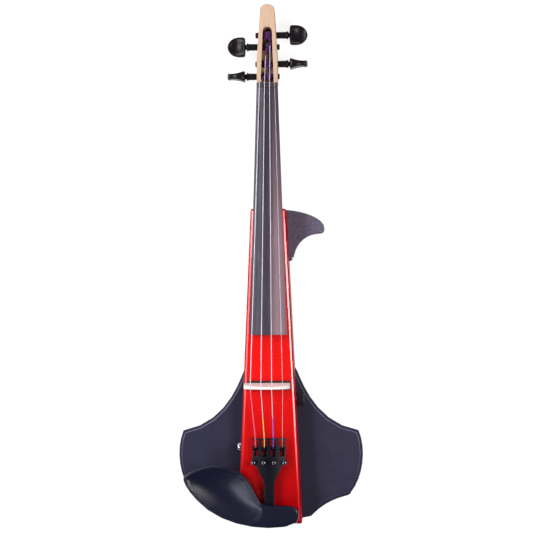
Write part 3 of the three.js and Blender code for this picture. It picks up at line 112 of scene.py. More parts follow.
def peg_axis(name):
    """Where the peg's axis runs, as Y and Z."""
    y = NUT_BACK + PEG_OUT[name]
    along = (y - NUT_BACK - CLEAR + AXIS_DEPTH * sin(BOX_TILT)) / cos(BOX_TILT)
    return y, BOX_FRONT - along * sin(BOX_TILT) - AXIS_DEPTH * cos(BOX_TILT)


def peg_radius(along):
    return PEG_TIP_RADIUS + PEG_TAPER * along / PEG_RING


def turn_plan(name):
    """How the string comes to its peg: which way, from where, turning radius, slope and wire's end."""
    across = -PEG_SIDE[name]
    start = TURN_START[name]
    end = start + across * TURN_COUNT[name] * TURN_PITCH
    thickest = max(peg_radius(PEG_TIP + x * PEG_SIDE[name]) for x in (start, end))
    radius = thickest + CLEAR + SILK_RADIUS
    nut = at_nut(name)
    away = Vector(peg_axis(name)) - nut.yz
    slope = atan2(away.y, away.x) + asin(radius / away.length)
    reach = sqrt(away.length**2 - radius**2)
    keep_out = radius + SILK_RADIUS + CLEAR + RADIUS[name]
    stop = reach - sqrt(keep_out**2 - radius**2)
    wire_end = Vector((nut.x + (start - nut.x) * stop / reach, nut.y + stop * cos(slope),
                       nut.z + stop * sin(slope)))
    return across, start, radius, slope, wire_end


# Colours
def tint(red, green, blue):
    """A colour as it is seen, 0 to 255, as the shader's linear values."""
    def line(value):
        value /= 255
        return value / 12.92 if value <= 0.04045 else ((value + 0.055) / 1.055) ** 2.4
    return (line(red), line(green), line(blue), 1.0)


# Node wiring
SHADING, GROWING = "ShaderNodeTree", "GeometryNodeTree"
INPUT_KINDS = {float: "Float", int: "Int", tuple: "Color"}
OUTPUT_KINDS = {"Color": "Color", "Normal": "Vector", "Geometry": "Geometry"}


class Board:
    """A node tree on the bench: put() sets a node down and feeds it, out() hands on its result."""

    def __init__(self, tree):
        self.tree = tree

    def join(self, value, socket):
        if isinstance(value, bpy.types.NodeSocket):
            self.tree.links.new(value, socket)
        else:
            socket.default_value = value

    def put(self, kind, feeds=None, **settings):
        node = self.tree.nodes.new(kind)
        for key, value in settings.items():
            setattr(node, key, value)
        for key, value in (feeds or {}).items():
            self.join(value, node.inputs[key])
        return node

    def out(self, kind, feeds=None, result=0, **settings):
        return self.put(kind, feeds, **settings).outputs[result]

    def reckon(self, operation, first, second=0.0, clamp=False):
        return self.out("ShaderNodeMath", {0: first, 1: second}, operation=operation, use_clamp=clamp)

    def add(self, first, second, clamp=False):
        return self.reckon("ADD", first, second, clamp)

    def minus(self, first, second):
        return self.reckon("SUBTRACT", first, second)

    def times(self, first, second, clamp=False):
        return self.reckon("MULTIPLY", first, second, clamp)

    def vectors(self, operation, first, second=(0, 0, 0), result=0):
        return self.out("ShaderNodeVectorMath", {0: first, 1: second}, result, operation=operation)

    def point(self, x=0.0, y=0.0, z=0.0):
        return self.out("ShaderNodeCombineXYZ", {"X": x, "Y": y, "Z": z})

    def parts(self, vector):
        return self.put("ShaderNodeSeparateXYZ", {"Vector": vector}).outputs

    def spread(self, value, low, high, to_low=0.0, to_high=1.0):
        """Maps low and high to new values, and holds there beyond them."""
        feeds = {"Value": value, "From Min": low, "From Max": high, "To Min": to_low, "To Max": to_high}
        return self.out("ShaderNodeMapRange", feeds, clamp=True)

    def mix(self, share, first, second):
        return self.out("ShaderNodeMix", {"Factor": share, 6: first, 7: second}, 2, data_type="RGBA")

    def place(self):
        return self.out("ShaderNodeTexCoord", result="Object")

    def normal(self):
        return self.out("ShaderNodeNewGeometry", result="Normal")

    def attribute(self, name):
        return self.out("ShaderNodeAttribute", result="Fac", attribute_name=name)

    def stretched(self, x, y, z):
        return self.vectors("MULTIPLY", self.place(), self.point(x, y, z))

    def noise(self, where, scale, detail=4.0, rough=0.55, warp=0.0):
        feeds = {"Vector": where, "Scale": scale, "Detail": detail, "Roughness": rough, "Distortion": warp}
        return self.out("ShaderNodeTexNoise", feeds)

    def cells(self, where, scale, result, **settings):
        return self.out("ShaderNodeTexVoronoi", {"Vector": where, "Scale": scale}, result, **settings)


class Group(Board):
    """A node group; each input is given as its first value, or as a word for its kind."""

    def __init__(self, sort, name, **inputs):
        super().__init__(bpy.data.node_groups.new(name, sort))
        for key, value in inputs.items():
            plain = isinstance(value, str)
            kind = "NodeSocket" + (value if plain else INPUT_KINDS[type(value)])
            socket = self.tree.interface.new_socket(key.replace("_", " "), in_out="INPUT", socket_type=kind)
            if not plain:
                socket.default_value = value
        self.given = self.put("NodeGroupInput").outputs

    def __getitem__(self, name):
        return self.given[name]

    def give(self, **results):
        """Names what comes out, joins it up and hands the tree over."""
        for key in results:
            kind = "NodeSocket" + OUTPUT_KINDS.get(key, "Float")
            self.tree.interface.new_socket(key, in_out="OUTPUT", socket_type=kind)
        self.put("NodeGroupOutput", results)
        return self.tree

    def ring(self, count, radius):
        return self.out("GeometryNodeCurvePrimitiveCircle", {"Resolution": count, "Radius": radius})

    def marked(self, curve, name, measure):
        """Keeps one of the curve's own measures on its points."""
        value = self.out("GeometryNodeSplineParameter", result=measure)
        feeds = {"Geometry": curve, "Name": name, "Value": value}
        return self.out("GeometryNodeStoreNamedAttribute", feeds, data_type="FLOAT", domain="POINT")

    def swept(self, line, section):
        feeds = {"Curve": line, "Profile Curve": section, "Fill Caps": True}
        return self.out("GeometryNodeCurveToMesh", feeds)

    def grow(self, geometry):
        """Ends the tree with real copies and the material."""
        whole = self.out("GeometryNodeRealizeInstances", {"Geometry": geometry})
        feeds = {"Geometry": whole, "Material": self["Material"]}
        return self.give(Geometry=self.out("GeometryNodeSetMaterial", feeds))


# Effects that the finishes share
def long_grain():
    """Straight grain along the neck, with fine pores."""
    board = Group(SHADING, "long grain", Pale=(0.8, 0.6, 0.4, 1), Dark=(0.6, 0.4, 0.2, 1), Lines=260.0,
                  Stretch=0.03, Strength=0.6, Pores=0.3)
    where = board.stretched(1.0, board["Stretch"], 1.0)
    wide = board.noise(where, board["Lines"], 3.0, 0.5, 0.4)
    fine = board.noise(where, board.times(board["Lines"], 5.0), 4.0, 0.7)
    grain = board.add(board.times(wide, 0.65), board.times(fine, 0.35))
    share = board.times(board.spread(grain, 0.35, 0.65), board["Strength"])
    pore = board.times(board.spread(fine, 0.62, 0.74), board["Pores"])
    share = board.add(share, pore, clamp=True)
    return board.give(Color=board.mix(share, board["Pale"], board["Dark"]), Height=board.minus(1.0, share))


def flecked():
    """Short brown rays across quarter sawn maple."""
    board = Group(SHADING, "flecked maple", Base=(0.9, 0.8, 0.7, 1), Fleck=(0.6, 0.4, 0.2, 1), Across=300.0,
                  Upright=1300.0, Strength=0.7)
    where = board.stretched(board["Across"], board["Upright"], board["Upright"])
    rays = board.spread(board.noise(where, 1.0, 2.0, 0.5), 0.56, 0.68)
    cloud = board.spread(board.noise(board.place(), 90.0, 3.0), 0.45, 0.9, 0.0, 0.25)
    share = board.times(board.add(rays, cloud), board["Strength"], clamp=True)
    return board.give(Color=board.mix(share, board["Base"], board["Fleck"]), Height=board.minus(1.0, share))


def handled():
    """Smudges and rubbed places that change how a surface shines."""
    board = Group(SHADING, "handling marks", Roughness=0.4, Amount=0.12, Size=70.0)
    place = board.place()
    broad = board.noise(place, board["Size"], 5.0, 0.6, 0.6)
    fine = board.noise(place, board.times(board["Size"], 11.0), 3.0, 0.6)
    both = board.add(board.times(broad, 0.75), board.times(fine, 0.25))
    mask = board.spread(both, 0.38, 0.66)
    change = board.times(board.minus(mask, 0.5), board["Amount"])
    return board.give(Roughness=board.add(board["Roughness"], change, clamp=True), Mask=mask)


def moulded():
    """A fine leathery texture, as moulded or sprayed plastic has."""
    board = Group(SHADING, "moulded texture", Size=1500.0, Coarse=0.3)
    place = board.place()
    cells = board.cells(place, board["Size"], "Distance", feature="SMOOTH_F1")
    broad = board.noise(place, board.times(board["Size"], 0.25), 3.0)
    speck = board.spread(board.noise(place, board.times(board["Size"], 0.6), 2.0), 0.45, 0.7)
    return board.give(Height=board.add(cells, board.times(broad, board["Coarse"])), Speck=speck)


def worn_and_highlit_edges():
    """Where an edge stands proud, it is made paler: partly rubbed wear, partly a painted highlight."""
    board = Group(SHADING, "worn and highlit edges", Color=(0.1, 0.1, 0.1, 1), Edge=(0.3, 0.3, 0.3, 1),
                  Width=0.8 * MM, Amount=0.6)
    soft = board.out("ShaderNodeBevel", {"Radius": board["Width"]}, samples=4)
    proud = board.spread(board.vectors("DOT_PRODUCT", soft, board.normal(), "Value"), 0.995, 0.9)
    patchy = board.spread(board.noise(board.place(), 220.0, 4.0), 0.35, 0.6)
    mask = board.times(board.times(proud, patchy), board["Amount"])
    return board.give(Color=board.mix(mask, board["Color"], board["Edge"]))


def flakes():
    """Metal flakes in lacquer: each cell leans its own way and has its own brightness."""
    board = Group(SHADING, "lacquer flakes", Deep=(0.5, 0.0, 0.0, 1), Bright=(0.9, 0.02, 0.02, 1),
                  Size=1800.0, Lean=0.12)
    place = board.place()
    cell = board.cells(place, board["Size"], "Color")
    chance = board.put("ShaderNodeSeparateColor", {"Color": cell}).outputs
    cloud = board.spread(board.noise(place, 26.0, 4.0, 0.6), 0.3, 0.7, 0.1, 0.55)
    share = board.add(board.times(chance[0], 0.45), cloud)
    lean = board.vectors("MULTIPLY", board.vectors("SUBTRACT", cell, (0.5, 0.5, 0.5)), board["Lean"])
    tilted = board.vectors("NORMALIZE", board.vectors("ADD", board.normal(), lean))
    return board.give(Color=board.mix(share, board["Deep"], board["Bright"]), Normal=tilted,
                      Roughness=board.spread(chance[1], 0.0, 1.0, 0.22, 0.34))


def wrapped():
    """Turns of fine thread or flat wire round a bar, from how far along it a point lies."""
    board = Group(SHADING, "wrapped turns", Thread=(0.8, 0.8, 0.8, 1), Gap=(0.3, 0.3, 0.3, 1),
                  Turns=4000.0, Strength=0.8)
    phase = board.add(board.times(board.attribute("along"), board["Turns"]), board.attribute("around"))
    ridge = board.spread(board.reckon("SINE", board.times(phase, FULL_TURN)), -1.0, 1.0)
    uneven = board.spread(board.noise(board.place(), 350.0, 3.0), 0.3, 0.75, 0.0, 0.35)
    share = board.times(board.add(board.minus(1.0, ridge), uneven), board["Strength"], clamp=True)
    return board.give(Color=board.mix(share, board["Thread"], board["Gap"]), Height=ridge)


GRAIN = long_grain()
FLECKS = flecked()
HANDLED = handled()
MOULDED = moulded()
WORN_AND_HIGHLIT_EDGES = worn_and_highlit_edges()
FLAKES = flakes()
WRAPPED = wrapped()


# Finishes
def cleared(owner):
    """The emptied node tree of a material or a world."""
    owner.use_nodes = True
    owner.node_tree.nodes.clear()
    return owner.node_tree


class Surface(Board):
    """One material: its own shader, fed by the shared effects."""

    def __init__(self, name, **constants):
        self.material = bpy.data.materials.new(name)
        super().__init__(cleared(self.material))
        self.shader = self.put("ShaderNodeBsdfPrincipled")
        self.put("ShaderNodeOutputMaterial", {"Surface": self.shader.outputs[0]})
        for key, value in constants.items():
            self.shader.inputs[key.replace("_", " ")].default_value = value

    def feed(self, key, socket):
        self.tree.links.new(socket, self.shader.inputs[key])

    def use(self, tree, **feeds):
        return self.put("ShaderNodeGroup", feeds, node_tree=tree).outputs

    def paint(self, color, edge, width, amount):
        """The colour, with its proud edges made paler over a width in mm, partly as rubbed wear and partly as
        a painted highlight.
        """
        feeds = {"Color": color, "Edge": tint(*edge), "Width": width * MM, "Amount": amount}
        self.feed("Base Color", self.use(WORN_AND_HIGHLIT_EDGES, **feeds)["Color"])

    def shine(self, rough, amount, size):
        """How rough it is, and how much handling changes that; hands back where it was handled."""
        marks = self.use(HANDLED, Roughness=rough, Amount=amount, Size=size)
        self.feed("Roughness", marks["Roughness"])
        return marks["Mask"]

    def relief(self, height, depth):
        """Raises the surface by a depth in mm."""
        feeds = {"Height": height, "Distance": depth * MM, "Strength": 1.0}
        self.feed("Normal", self.out("ShaderNodeBump", feeds))


def red_lacquer():
    """Flakes under a clear coat; painted shade darkens the colour towards the tail and down the walls, and
    the coat thins on the walls and towards the tail.
    """
    tail_shade_begin, tail_shade_end = 5 * MM, -120 * MM
    made = Surface("red flake lacquer", Coat_Roughness=0.16, Coat_IOR=1.7, Specular_IOR_Level=0.02)
    # Painted shade: the colour darkens from the bridge towards the tail.
    tail_shade = made.spread(made.parts(made.place())["Y"], tail_shade_begin, tail_shade_end)
    # Tops against walls: the walls get darker tints as painted shade.
    level = made.spread(made.reckon("ABSOLUTE", made.parts(made.normal())["Z"]), 0.66, 0.93)
    deep = made.mix(tail_shade, tint(255, 5, 5), tint(166, 0, 8))
    bright = made.mix(tail_shade, tint(255, 18, 12), tint(196, 2, 8))
    flake = made.use(FLAKES, Deep=made.mix(level, tint(152, 3, 26), deep),
                     Bright=made.mix(level, tint(176, 6, 34), bright), Size=2600.0, Lean=0.1)
    # The pale red edge colour is a painted highlight along the proud edges.
    made.paint(flake["Color"], (255, 70, 60), 1.1, 0.1)
    made.feed("Normal", flake["Normal"])
    gloss = made.spread(tail_shade, 0.0, 1.0, 0.9, 0.35)
    made.feed("Coat Weight", made.times(made.spread(level, 0.0, 1.0, 0.03, 1.0), gloss))
    made.feed("Metallic", made.spread(level, 0.0, 1.0, 0.0, 0.2))
    made.shine(flake["Roughness"], 0.06, 40.0)
    return made.material


def black_satin(name, base, edge, rough, grain, depth, specular=0.35, speck=0.0, rim=None, smudge=0.14):
    """Fine textured black, flecked, its proud edges paler from rubbed wear and a painted highlight, with a
    rim colour painted as a highlight where one is given.
    """
    made = Surface(name, Specular_IOR_Level=specular)
    texture = made.use(MOULDED, Size=grain, Coarse=0.4)
    color = made.mix(made.times(texture["Speck"], speck), tint(*base), tint(*edge))
    # The rim colour paints a highlight along the chamfer's crease.
    if rim:
        color = made.mix(made.attribute("rim"), color, tint(*rim))
    made.paint(color, edge, 0.9, 0.5)
    made.shine(rough, smudge, 55.0)
    made.relief(texture["Height"], depth)
    return made.material


def painted_board_sheen(made, color, sheen_tint, dark):
    """A paler, warmer streaky side on the fingerboard as painted sheen, and painted shade darkening the wood
    towards the nut.
    """
    side = made.parts(made.place())
    streaks = made.spread(made.noise(made.stretched(1.0, 0.02, 1.0), 500.0, 3.0), 0.3, 0.7, -2 * MM, 2 * MM)
    across = made.spread(made.add(side["X"], streaks), 0.5 * MM, 8 * MM)
    # Painted sheen across the treble side, stronger towards the bridge.
    along = made.spread(side["Y"], 330 * MM, 160 * MM, 0.25, 1.0)
    color = made.mix(made.times(across, along), color, tint(*sheen_tint))
    # Painted shade towards the nut.
    return made.mix(made.spread(side["Y"], 160 * MM, 320 * MM, 0.0, 0.6), color, tint(*dark))


def wood(name, pale, dark, lines, stretch, strength, pores, rough, depth, specular=0.4, coat=0.0, edge=None,
         sheen_tint=None, inside=None):
    """Grained wood, with a painted sheen side or painted shade deep inside, where it has one."""
    made = Surface(name, Specular_IOR_Level=specular, Coat_Weight=coat, Coat_Roughness=0.25)
    grain = made.use(GRAIN, Pale=tint(*pale), Dark=tint(*dark), Lines=lines, Stretch=stretch,
                     Strength=strength, Pores=pores)
    color = grain["Color"]
    # Painted sheen on the treble side, and painted shade towards the nut.
    if sheen_tint:
        color = painted_board_sheen(made, color, sheen_tint, dark)
    # Painted shade deep in the peg box.
    if inside:
        color = made.mix(made.attribute("inside"), color, tint(*inside))
    made.paint(color, edge or pale, 0.7, 0.4)
    made.shine(rough, 0.12, 60.0)
    made.relief(grain["Height"], depth)
    return made.material


def bridge_wood():
    made = Surface("bridge maple", Specular_IOR_Level=0.35, Coat_Weight=0.05, Coat_Roughness=0.3)
    fleck = made.use(FLECKS, Base=tint(255, 251, 247), Fleck=tint(200, 164, 140), Across=330.0,
                     Upright=1500.0, Strength=0.45)
    made.paint(fleck["Color"], (255, 250, 240), 0.6, 0.5)
    made.shine(0.5, 0.12, 80.0)
    made.relief(fleck["Height"], 0.04)
    return made.material


def metal(name, base, rough, smudge=0.12):
    """Metal with a fine tooth, duller where it was handled."""
    made = Surface(name, Metallic=1.0)
    dull = [0.82 * value for value in base]
    made.feed("Base Color", made.mix(made.shine(rough, smudge, 160.0), tint(*base), tint(*dull)))
    made.relief(made.noise(made.place(), 3000.0, 2.0), 0.01)
    return made.material


def bound(name, thread, gap, turns, rough, depth, metallic=0.0, sheen=0.0):
    """Wire or thread wound round a bar, or the twist of a cord."""
    made = Surface(name, Metallic=metallic, Sheen_Weight=sheen, Specular_IOR_Level=0.4)
    wraps = made.use(WRAPPED, Thread=tint(*thread), Gap=tint(*gap), Turns=turns, Strength=0.55)
    made.feed("Base Color", wraps["Color"])
    made.shine(rough, 0.1, 120.0)
    made.relief(wraps["Height"], depth)
    return made.material


def silk(name, thread, gap, rough=0.6, sheen=0.4):
    return bound(name, thread, gap, 3300.0, rough, 0.06, sheen=sheen)


def corky():
    made = Surface("cork", Specular_IOR_Level=0.15)
    dark = made.spread(made.cells(made.place(), 900.0, "Distance"), 0.25, 0.75)
    made.feed("Base Color", made.mix(dark, tint(196, 150, 100), tint(120, 78, 44)))
    made.shine(0.85, 0.1, 200.0)
    made.relief(made.minus(1.0, dark), 0.2)
    return made.material


def board_green():
    made = Surface("circuit board", Specular_IOR_Level=0.5, Coat_Weight=0.4, Coat_Roughness=0.1)
    tracks = {"Vector": made.place(), "Scale": 400.0, "Color1": tint(20, 92, 50), "Color2": tint(24, 104, 58),
              "Mortar": tint(60, 140, 84)}
    made.feed("Base Color", made.out("ShaderNodeTexBrick", tracks))
    made.shine(0.3, 0.1, 90.0)
    return made.material


def battery_sleeve():
    band_begin, band_edge = -112 * MM, 0.1 * MM
    made = Surface("battery sleeve", Metallic=0.3, Specular_IOR_Level=0.5)
    band = made.spread(made.parts(made.place())["Y"], band_begin, band_begin - band_edge)
    made.feed("Base Color", made.mix(band, tint(34, 34, 38), tint(176, 108, 46)))
    made.shine(0.35, 0.1, 90.0)
    return made.material


RED = red_lacquer()
# Satin black plates; their rim colour is a painted highlight on the chamfer crease.
PLATE = black_satin("satin black plate", (41, 39, 61), (78, 78, 102), rough=0.42, grain=1400.0, depth=0.03,
                    specular=0.25, speck=0.12, rim=(104, 104, 132))
FIN = black_satin("textured fin", (95, 88, 108), (148, 138, 162), rough=0.6, grain=900.0, depth=0.16,
                  specular=0.25, speck=0.45)
COVER = black_satin("back cover plastic", (34, 34, 38), (80, 80, 86), rough=0.5, grain=1100.0, depth=0.08)
COMPOSITE = black_satin("black composite", (13, 12, 24), (50, 50, 68), rough=0.36, grain=1600.0, depth=0.02,
                        specular=0.16)
REST = black_satin("chinrest black", (13, 15, 37), (64, 66, 100), rough=0.3, grain=1300.0, depth=0.006,
                   specular=0.31, smudge=0.04)
BED = black_satin("pickup bed", (24, 24, 26), (60, 60, 64), rough=0.5, grain=1500.0, depth=0.03)
KNOB = black_satin("knob black", (40, 27, 41), (70, 66, 78), rough=0.42, grain=1800.0, depth=0.02,
                   specular=0.2)
RUBBER = black_satin("lead jacket", (28, 28, 30), (60, 60, 62), rough=0.7, grain=1500.0, depth=0.04)
# The head's maple; its inside colour is painted shade deep in the peg box.
MAPLE = wood("head maple", (230, 197, 168), (200, 158, 130), lines=420.0, stretch=0.035, strength=0.5,
             pores=0.16, rough=0.45, depth=0.03, coat=0.1, inside=(94, 26, 26))
# Ebony; the paler tint on its treble side is a painted sheen.
EBONY = wood("ebony", (74, 66, 82), (42, 37, 50), lines=700.0, stretch=0.02, strength=0.8, pores=0.5,
             rough=0.42, depth=0.03, specular=0.35, edge=(84, 78, 92), sheen_tint=(136, 108, 118))
PEG_EBONY = wood("peg ebony", (30, 22, 28), (12, 9, 14), lines=800.0, stretch=0.6, strength=0.8, pores=0.4,
                 rough=0.3, depth=0.02, specular=0.2, edge=(60, 56, 68))
BRIDGE_WOOD = bridge_wood()
BLACK_METAL = metal("black plated steel", (58, 56, 66), 0.26)
SCREW_HEAD = metal("polished tuner head", (118, 114, 128), 0.14)
STEEL = metal("screw steel", (196, 196, 200), 0.28)
CLAMP_STEEL = metal("polished clamp", (214, 214, 218), 0.16)
CHROME = metal("chrome", (208, 204, 216), 0.16, smudge=0.06)
POT_STEEL = metal("pot steel", (176, 176, 172), 0.35)
WOUND = bound("wound string", (250, 244, 255), (206, 198, 216), 2600.0, 0.4, 0.01, metallic=0.3)
PLAIN = bound("plain steel string", (250, 240, 250), (226, 216, 230), 900.0, 0.3, 0.004, metallic=0.3)
CORD = bound("black cord", (30, 30, 32), (12, 12, 14), 900.0, 0.45, 0.05)
SILKS = {
    "g": silk("pink silk", (252, 112, 150), (206, 60, 96)),
    "d": silk("pale yellow silk", (255, 226, 120), (236, 176, 60)),
    "a": silk("lilac silk", (150, 120, 236), (104, 78, 200)),
    "e": silk("tan silk", (216, 190, 140), (170, 140, 92)),
}
TIP_SILKS = {
    "a": silk("blue silk", (20, 116, 232), (12, 74, 180)),
    "e": silk("green silk", (110, 200, 170), (60, 150, 120)),
}
HEAD_SILK = silk("violet silk", (124, 30, 142), (62, 10, 80), 0.55, 0.3)
CORK = corky()
GREEN_BOARD = board_green()
SLEEVE = battery_sleeve()


# Shaping
@contextmanager
def bench(mesh):
    """A mesh opened for work, and closed when the work is done."""
    work = bmesh.new()
    work.from_mesh(mesh)
    yield work
    work.to_mesh(mesh)
    work.free()


def hold(name, data):
    """Puts a mesh, lamp or camera into the scene as an object of its own."""
    made = bpy.data.objects.new(name, data)
    bpy.context.scene.collection.objects.link(made)
    return made


def placed(mesh, where, turn=0.0, axis="Z"):
    """Turns a mesh about an axis and moves it to a place."""
    mesh.transform(Matrix.Translation(where) @ Matrix.Rotation(turn, 4, axis))
    return mesh


def creased(mesh, angle=35.0):
    """Smooth faces, with hard creases where the surface turns sharply."""
    limit = radians(angle)
    with bench(mesh) as work:
        for face in work.faces:
            face.smooth = True
        for edge in work.edges:
            edge.smooth = len(edge.link_faces) == 2 and edge.calc_face_angle(0) < limit
    return mesh


def step(made, name, kind, **settings):
    """Adds a modifier to a piece."""
    added = made.modifiers.new(name, kind)
    for key, value in settings.items():
        setattr(added, key, value)


def settled(made):
    """Bakes an object's modifiers into its mesh."""
    look = bpy.context.evaluated_depsgraph_get()
    mesh = bpy.data.meshes.new_from_object(made.evaluated_get(look), preserve_all_data_layers=True,
                                           depsgraph=look)
    old = made.data
    made.modifiers.clear()
    made.data = mesh
    bpy.data.meshes.remove(old)


def finished(made, body, slot, *nodes):
    """The piece rides on its body and stands for the CAD nodes named."""
    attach(made, body)
    if nodes:
        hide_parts(*nodes)
    return made


def copied(node):
    """The CAD node's own shape as a fresh, merged mesh."""
    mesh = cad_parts[node].data.copy()
    with bench(mesh) as work:
        bmesh.ops.remove_doubles(work, verts=work.verts, dist=0.004 * MM)
        bmesh.ops.dissolve_limit(work, angle_limit=radians(0.4), verts=work.verts, edges=work.edges)
    mesh.materials.clear()
    return mesh


def eased(t, start, leaving, end, arriving):
    """A point on the smooth way from start to end, with its slope at either."""
    return ((2 * t**3 - 3 * t**2 + 1) * start + (t**3 - 2 * t**2 + t) * leaving
            + (3 * t**2 - 2 * t**3) * end + (t**3 - t**2) * arriving)


def eased_curve(points, count):
    """A smooth line through [place, value] pairs, read at equal steps."""
    xs, ys = np.array(points, dtype=float).T
    slopes = np.gradient(ys, xs)
    out = []
    for x in np.linspace(xs[0], xs[-1], count):
        k = min(max(int(np.searchsorted(xs, x) - 1), 0), len(xs) - 2)
        h = xs[k + 1] - xs[k]
        value = eased((x - xs[k]) / h, ys[k], h * slopes[k], ys[k + 1], h * slopes[k + 1])
        out.append((x, float(value)))
    return out


def turning(before, here, after):
    """How far a flat outline turns at a point, in degrees."""
    first, second = here - before, after - here
    return degrees(abs(first.angle_signed(second, 0.0)))


# Two places closer than this, in metres, are one
NEAR = 1e-6


def outline_spans(work, low, high):
    """A plate's upright walls: the edges along them, and which outline point comes after and before."""
    edges, after, before = set(), {}, {}
    walls = [face for face in work.faces if abs(face.normal.z) < 0.1 and len(face.verts) == 4]
    for face in walls:
        level = [edge for edge in face.edges if abs(edge.verts[0].co.z - edge.verts[1].co.z) < NEAR]
        heights = {round(edge.verts[0].co.z - low, 6) for edge in level}
        if len(level) != 2 or heights != {0.0, round(high - low, 6)}:
            continue
        edges.update(level)
        for loop in face.loops:
            if loop.edge in level and abs(loop.vert.co.z - low) < NEAR:
                one, two = loop.vert.co.xy.copy(), loop.link_loop_next.vert.co.xy.copy()
                after[tuple(one)], before[tuple(two)] = two, one
    return edges, after, before


def rounder(mesh, cuts=3, sharp=24.0):
    """Finer curves for an upright plate's outline, its corners left as they are."""
    with bench(mesh) as work:
        lows, highs = ([pick(vert.co[axis] for vert in work.verts) for axis in range(3)]
                       for pick in (min, max))
        edges, after, before = outline_spans(work, lows[2], highs[2])
        spans = []
        for key, two in after.items():
            one = Vector(key)
            straight = two - one
            slopes = []
            for here in (one, two):
                last, following = before.get(tuple(here)), after.get(tuple(here))
                if last is None or following is None or turning(last, here, following) > sharp:
                    slopes.append(straight)
                else:
                    slopes.append((following - last).normalized() * straight.length)
            spans.append((one, two, *slopes))
        made = bmesh.ops.subdivide_edges(work, edges=list(edges), cuts=cuts, use_grid_fill=True)
        for vert in {item for item in made["geom_inner"] if isinstance(item, bmesh.types.BMVert)}:
            place = vert.co.xy
            for one, two, leaving, arriving in spans:
                along = two - one
                t = (place - one).dot(along) / along.length_squared
                if 0 < t < 1 and (one + along * t - place).length < NEAR:
                    x, y = eased(t, one, leaving, two, arriving)
                    vert.co.x = min(max(x, lows[0]), highs[0])
                    vert.co.y = min(max(y, lows[1]), highs[1])
                    break


def bevelled(work, edges, wide):
    """Slopes edges off by a width in mm and hands back the new faces."""
    return bmesh.ops.bevel(work, geom=edges, offset=wide * MM, offset_type="OFFSET", segments=1,
                           affect="EDGES")["faces"]


def chamfered(mesh, wide, drop):
    """Slopes the rim of a plate's top down, but for the edge that lies along the body, and marks a painted
    highlight along the crease.
    """
    flat, body_gap, ridge = 0.05 * MM, 2.5 * MM, 0.4
    with bench(mesh) as work:
        painted_light_mark = work.faces.layers.float.new("rim")
        top = max(vert.co.z for vert in work.verts)

        def on_top(edge):
            return all(abs(vert.co.z - top) < flat for vert in edge.verts)

        rim = []
        for edge in work.edges:
            middle = (edge.verts[0].co + edge.verts[1].co) / 2
            heights = sorted(abs(face.normal.z) for face in edge.link_faces)
            outside = abs(middle.x) > body_half(middle.y / MM) * MM + body_gap
            if on_top(edge) and heights[0] < 0.3 and heights[-1] > 0.9 and outside:
                rim.append(edge)
        bevelled(work, rim, wide)
        for vert in work.verts:
            if abs(vert.co.z - top + wide * MM) < 0.2 * MM:
                vert.co.z = top - drop * MM
        work.normal_update()
        crease = [edge for edge in work.edges if len(edge.link_faces) == 2 and on_top(edge)
                  and 0.7 < min(face.normal.z for face in edge.link_faces) < 0.98]
        faces = bevelled(work, crease, ridge)
        work.normal_update()
        # Painted highlight: brighter where the crease faces the head end, towards the key lamp.
        for face in faces:
            face[painted_light_mark] = min(1.0, max(0.12, 0.5 + 3.0 * face.normal.y))


def dressed(node, body, slot, material, bevel, angle=33.0, rim=None, crease=None, finer=False):
    """The CAD node's shape with smooth curves and its edges eased by a bevel in mm."""
    made = hold(node + "_shell", copied(node))
    if finer:
        rounder(made.data)
    if rim:
        chamfered(made.data, *rim)
    made.data.materials.append(material)
    if bevel:
        step(made, "eased edges", "BEVEL", width=bevel * MM, segments=2, limit_method="ANGLE",
             angle_limit=radians(angle), use_clamp_overlap=True, miter_outer="MITER_ARC")
        settled(made)
    creased(made.data, crease or angle + 8)
    step(made, "even shading", "WEIGHTED_NORMAL", keep_sharp=True)
    settled(made)
    return finished(made, body, slot, node)


def ring_loft(rings, name):
    """A closed skin over rings of equally many points, each ring a list of places in mm."""
    count = len(rings[0])
    mesh = bpy.data.meshes.new(name)
    with bench(mesh) as work:
        rows = [[work.verts.new(Vector(place) * MM) for place in ring] for ring in rings]
        for lower, upper in zip(rows, rows[1:]):
            for i in range(count):
                j = (i + 1) % count
                work.faces.new((lower[i], lower[j], upper[j], upper[i]))
        work.faces.new(list(reversed(rows[0])))
        work.faces.new(rows[-1])
        bmesh.ops.recalc_face_normals(work, faces=work.faces)
    return mesh


def round_the(count):
    """Equal steps round a full turn."""
    return [FULL_TURN * i / count for i in range(count)]


def turned(profile, name, sides):
    """A lathe piece about Z: the profile is [radius, height] in mm from one end to the other."""
    least = 0.01
    rings = [[(max(radius, least) * cos(a), max(radius, least) * sin(a), height)
              for a in round_the(sides)] for radius, height in profile]
    return ring_loft(rings, name)


def joined(name, *meshes):
    """Several meshes as one."""
    whole = bpy.data.meshes.new(name)
    with bench(whole) as work:
        for mesh in meshes:
            work.from_mesh(mesh)
    return whole


# Growing pieces along lines
def bar_tree():
    """A round bar that follows a line, its corners filleted."""
    board = Group(GROWING, "bar along a line", Geometry="Geometry", Radius=1 * MM, Sides=12, Fillet=0.0,
                  Material="Material")
    line = board.out("GeometryNodeMeshToCurve", {"Mesh": board["Geometry"]})
    corners = {"Curve": line, "Radius": board["Fillet"], "Count": 6, "Limit Radius": True}
    line = board.marked(board.out("GeometryNodeFilletCurve", corners, mode="POLY"), "along", "Length")
    ring = board.marked(board.ring(board["Sides"], board["Radius"]), "around", "Factor")
    return board.grow(board.swept(line, ring))


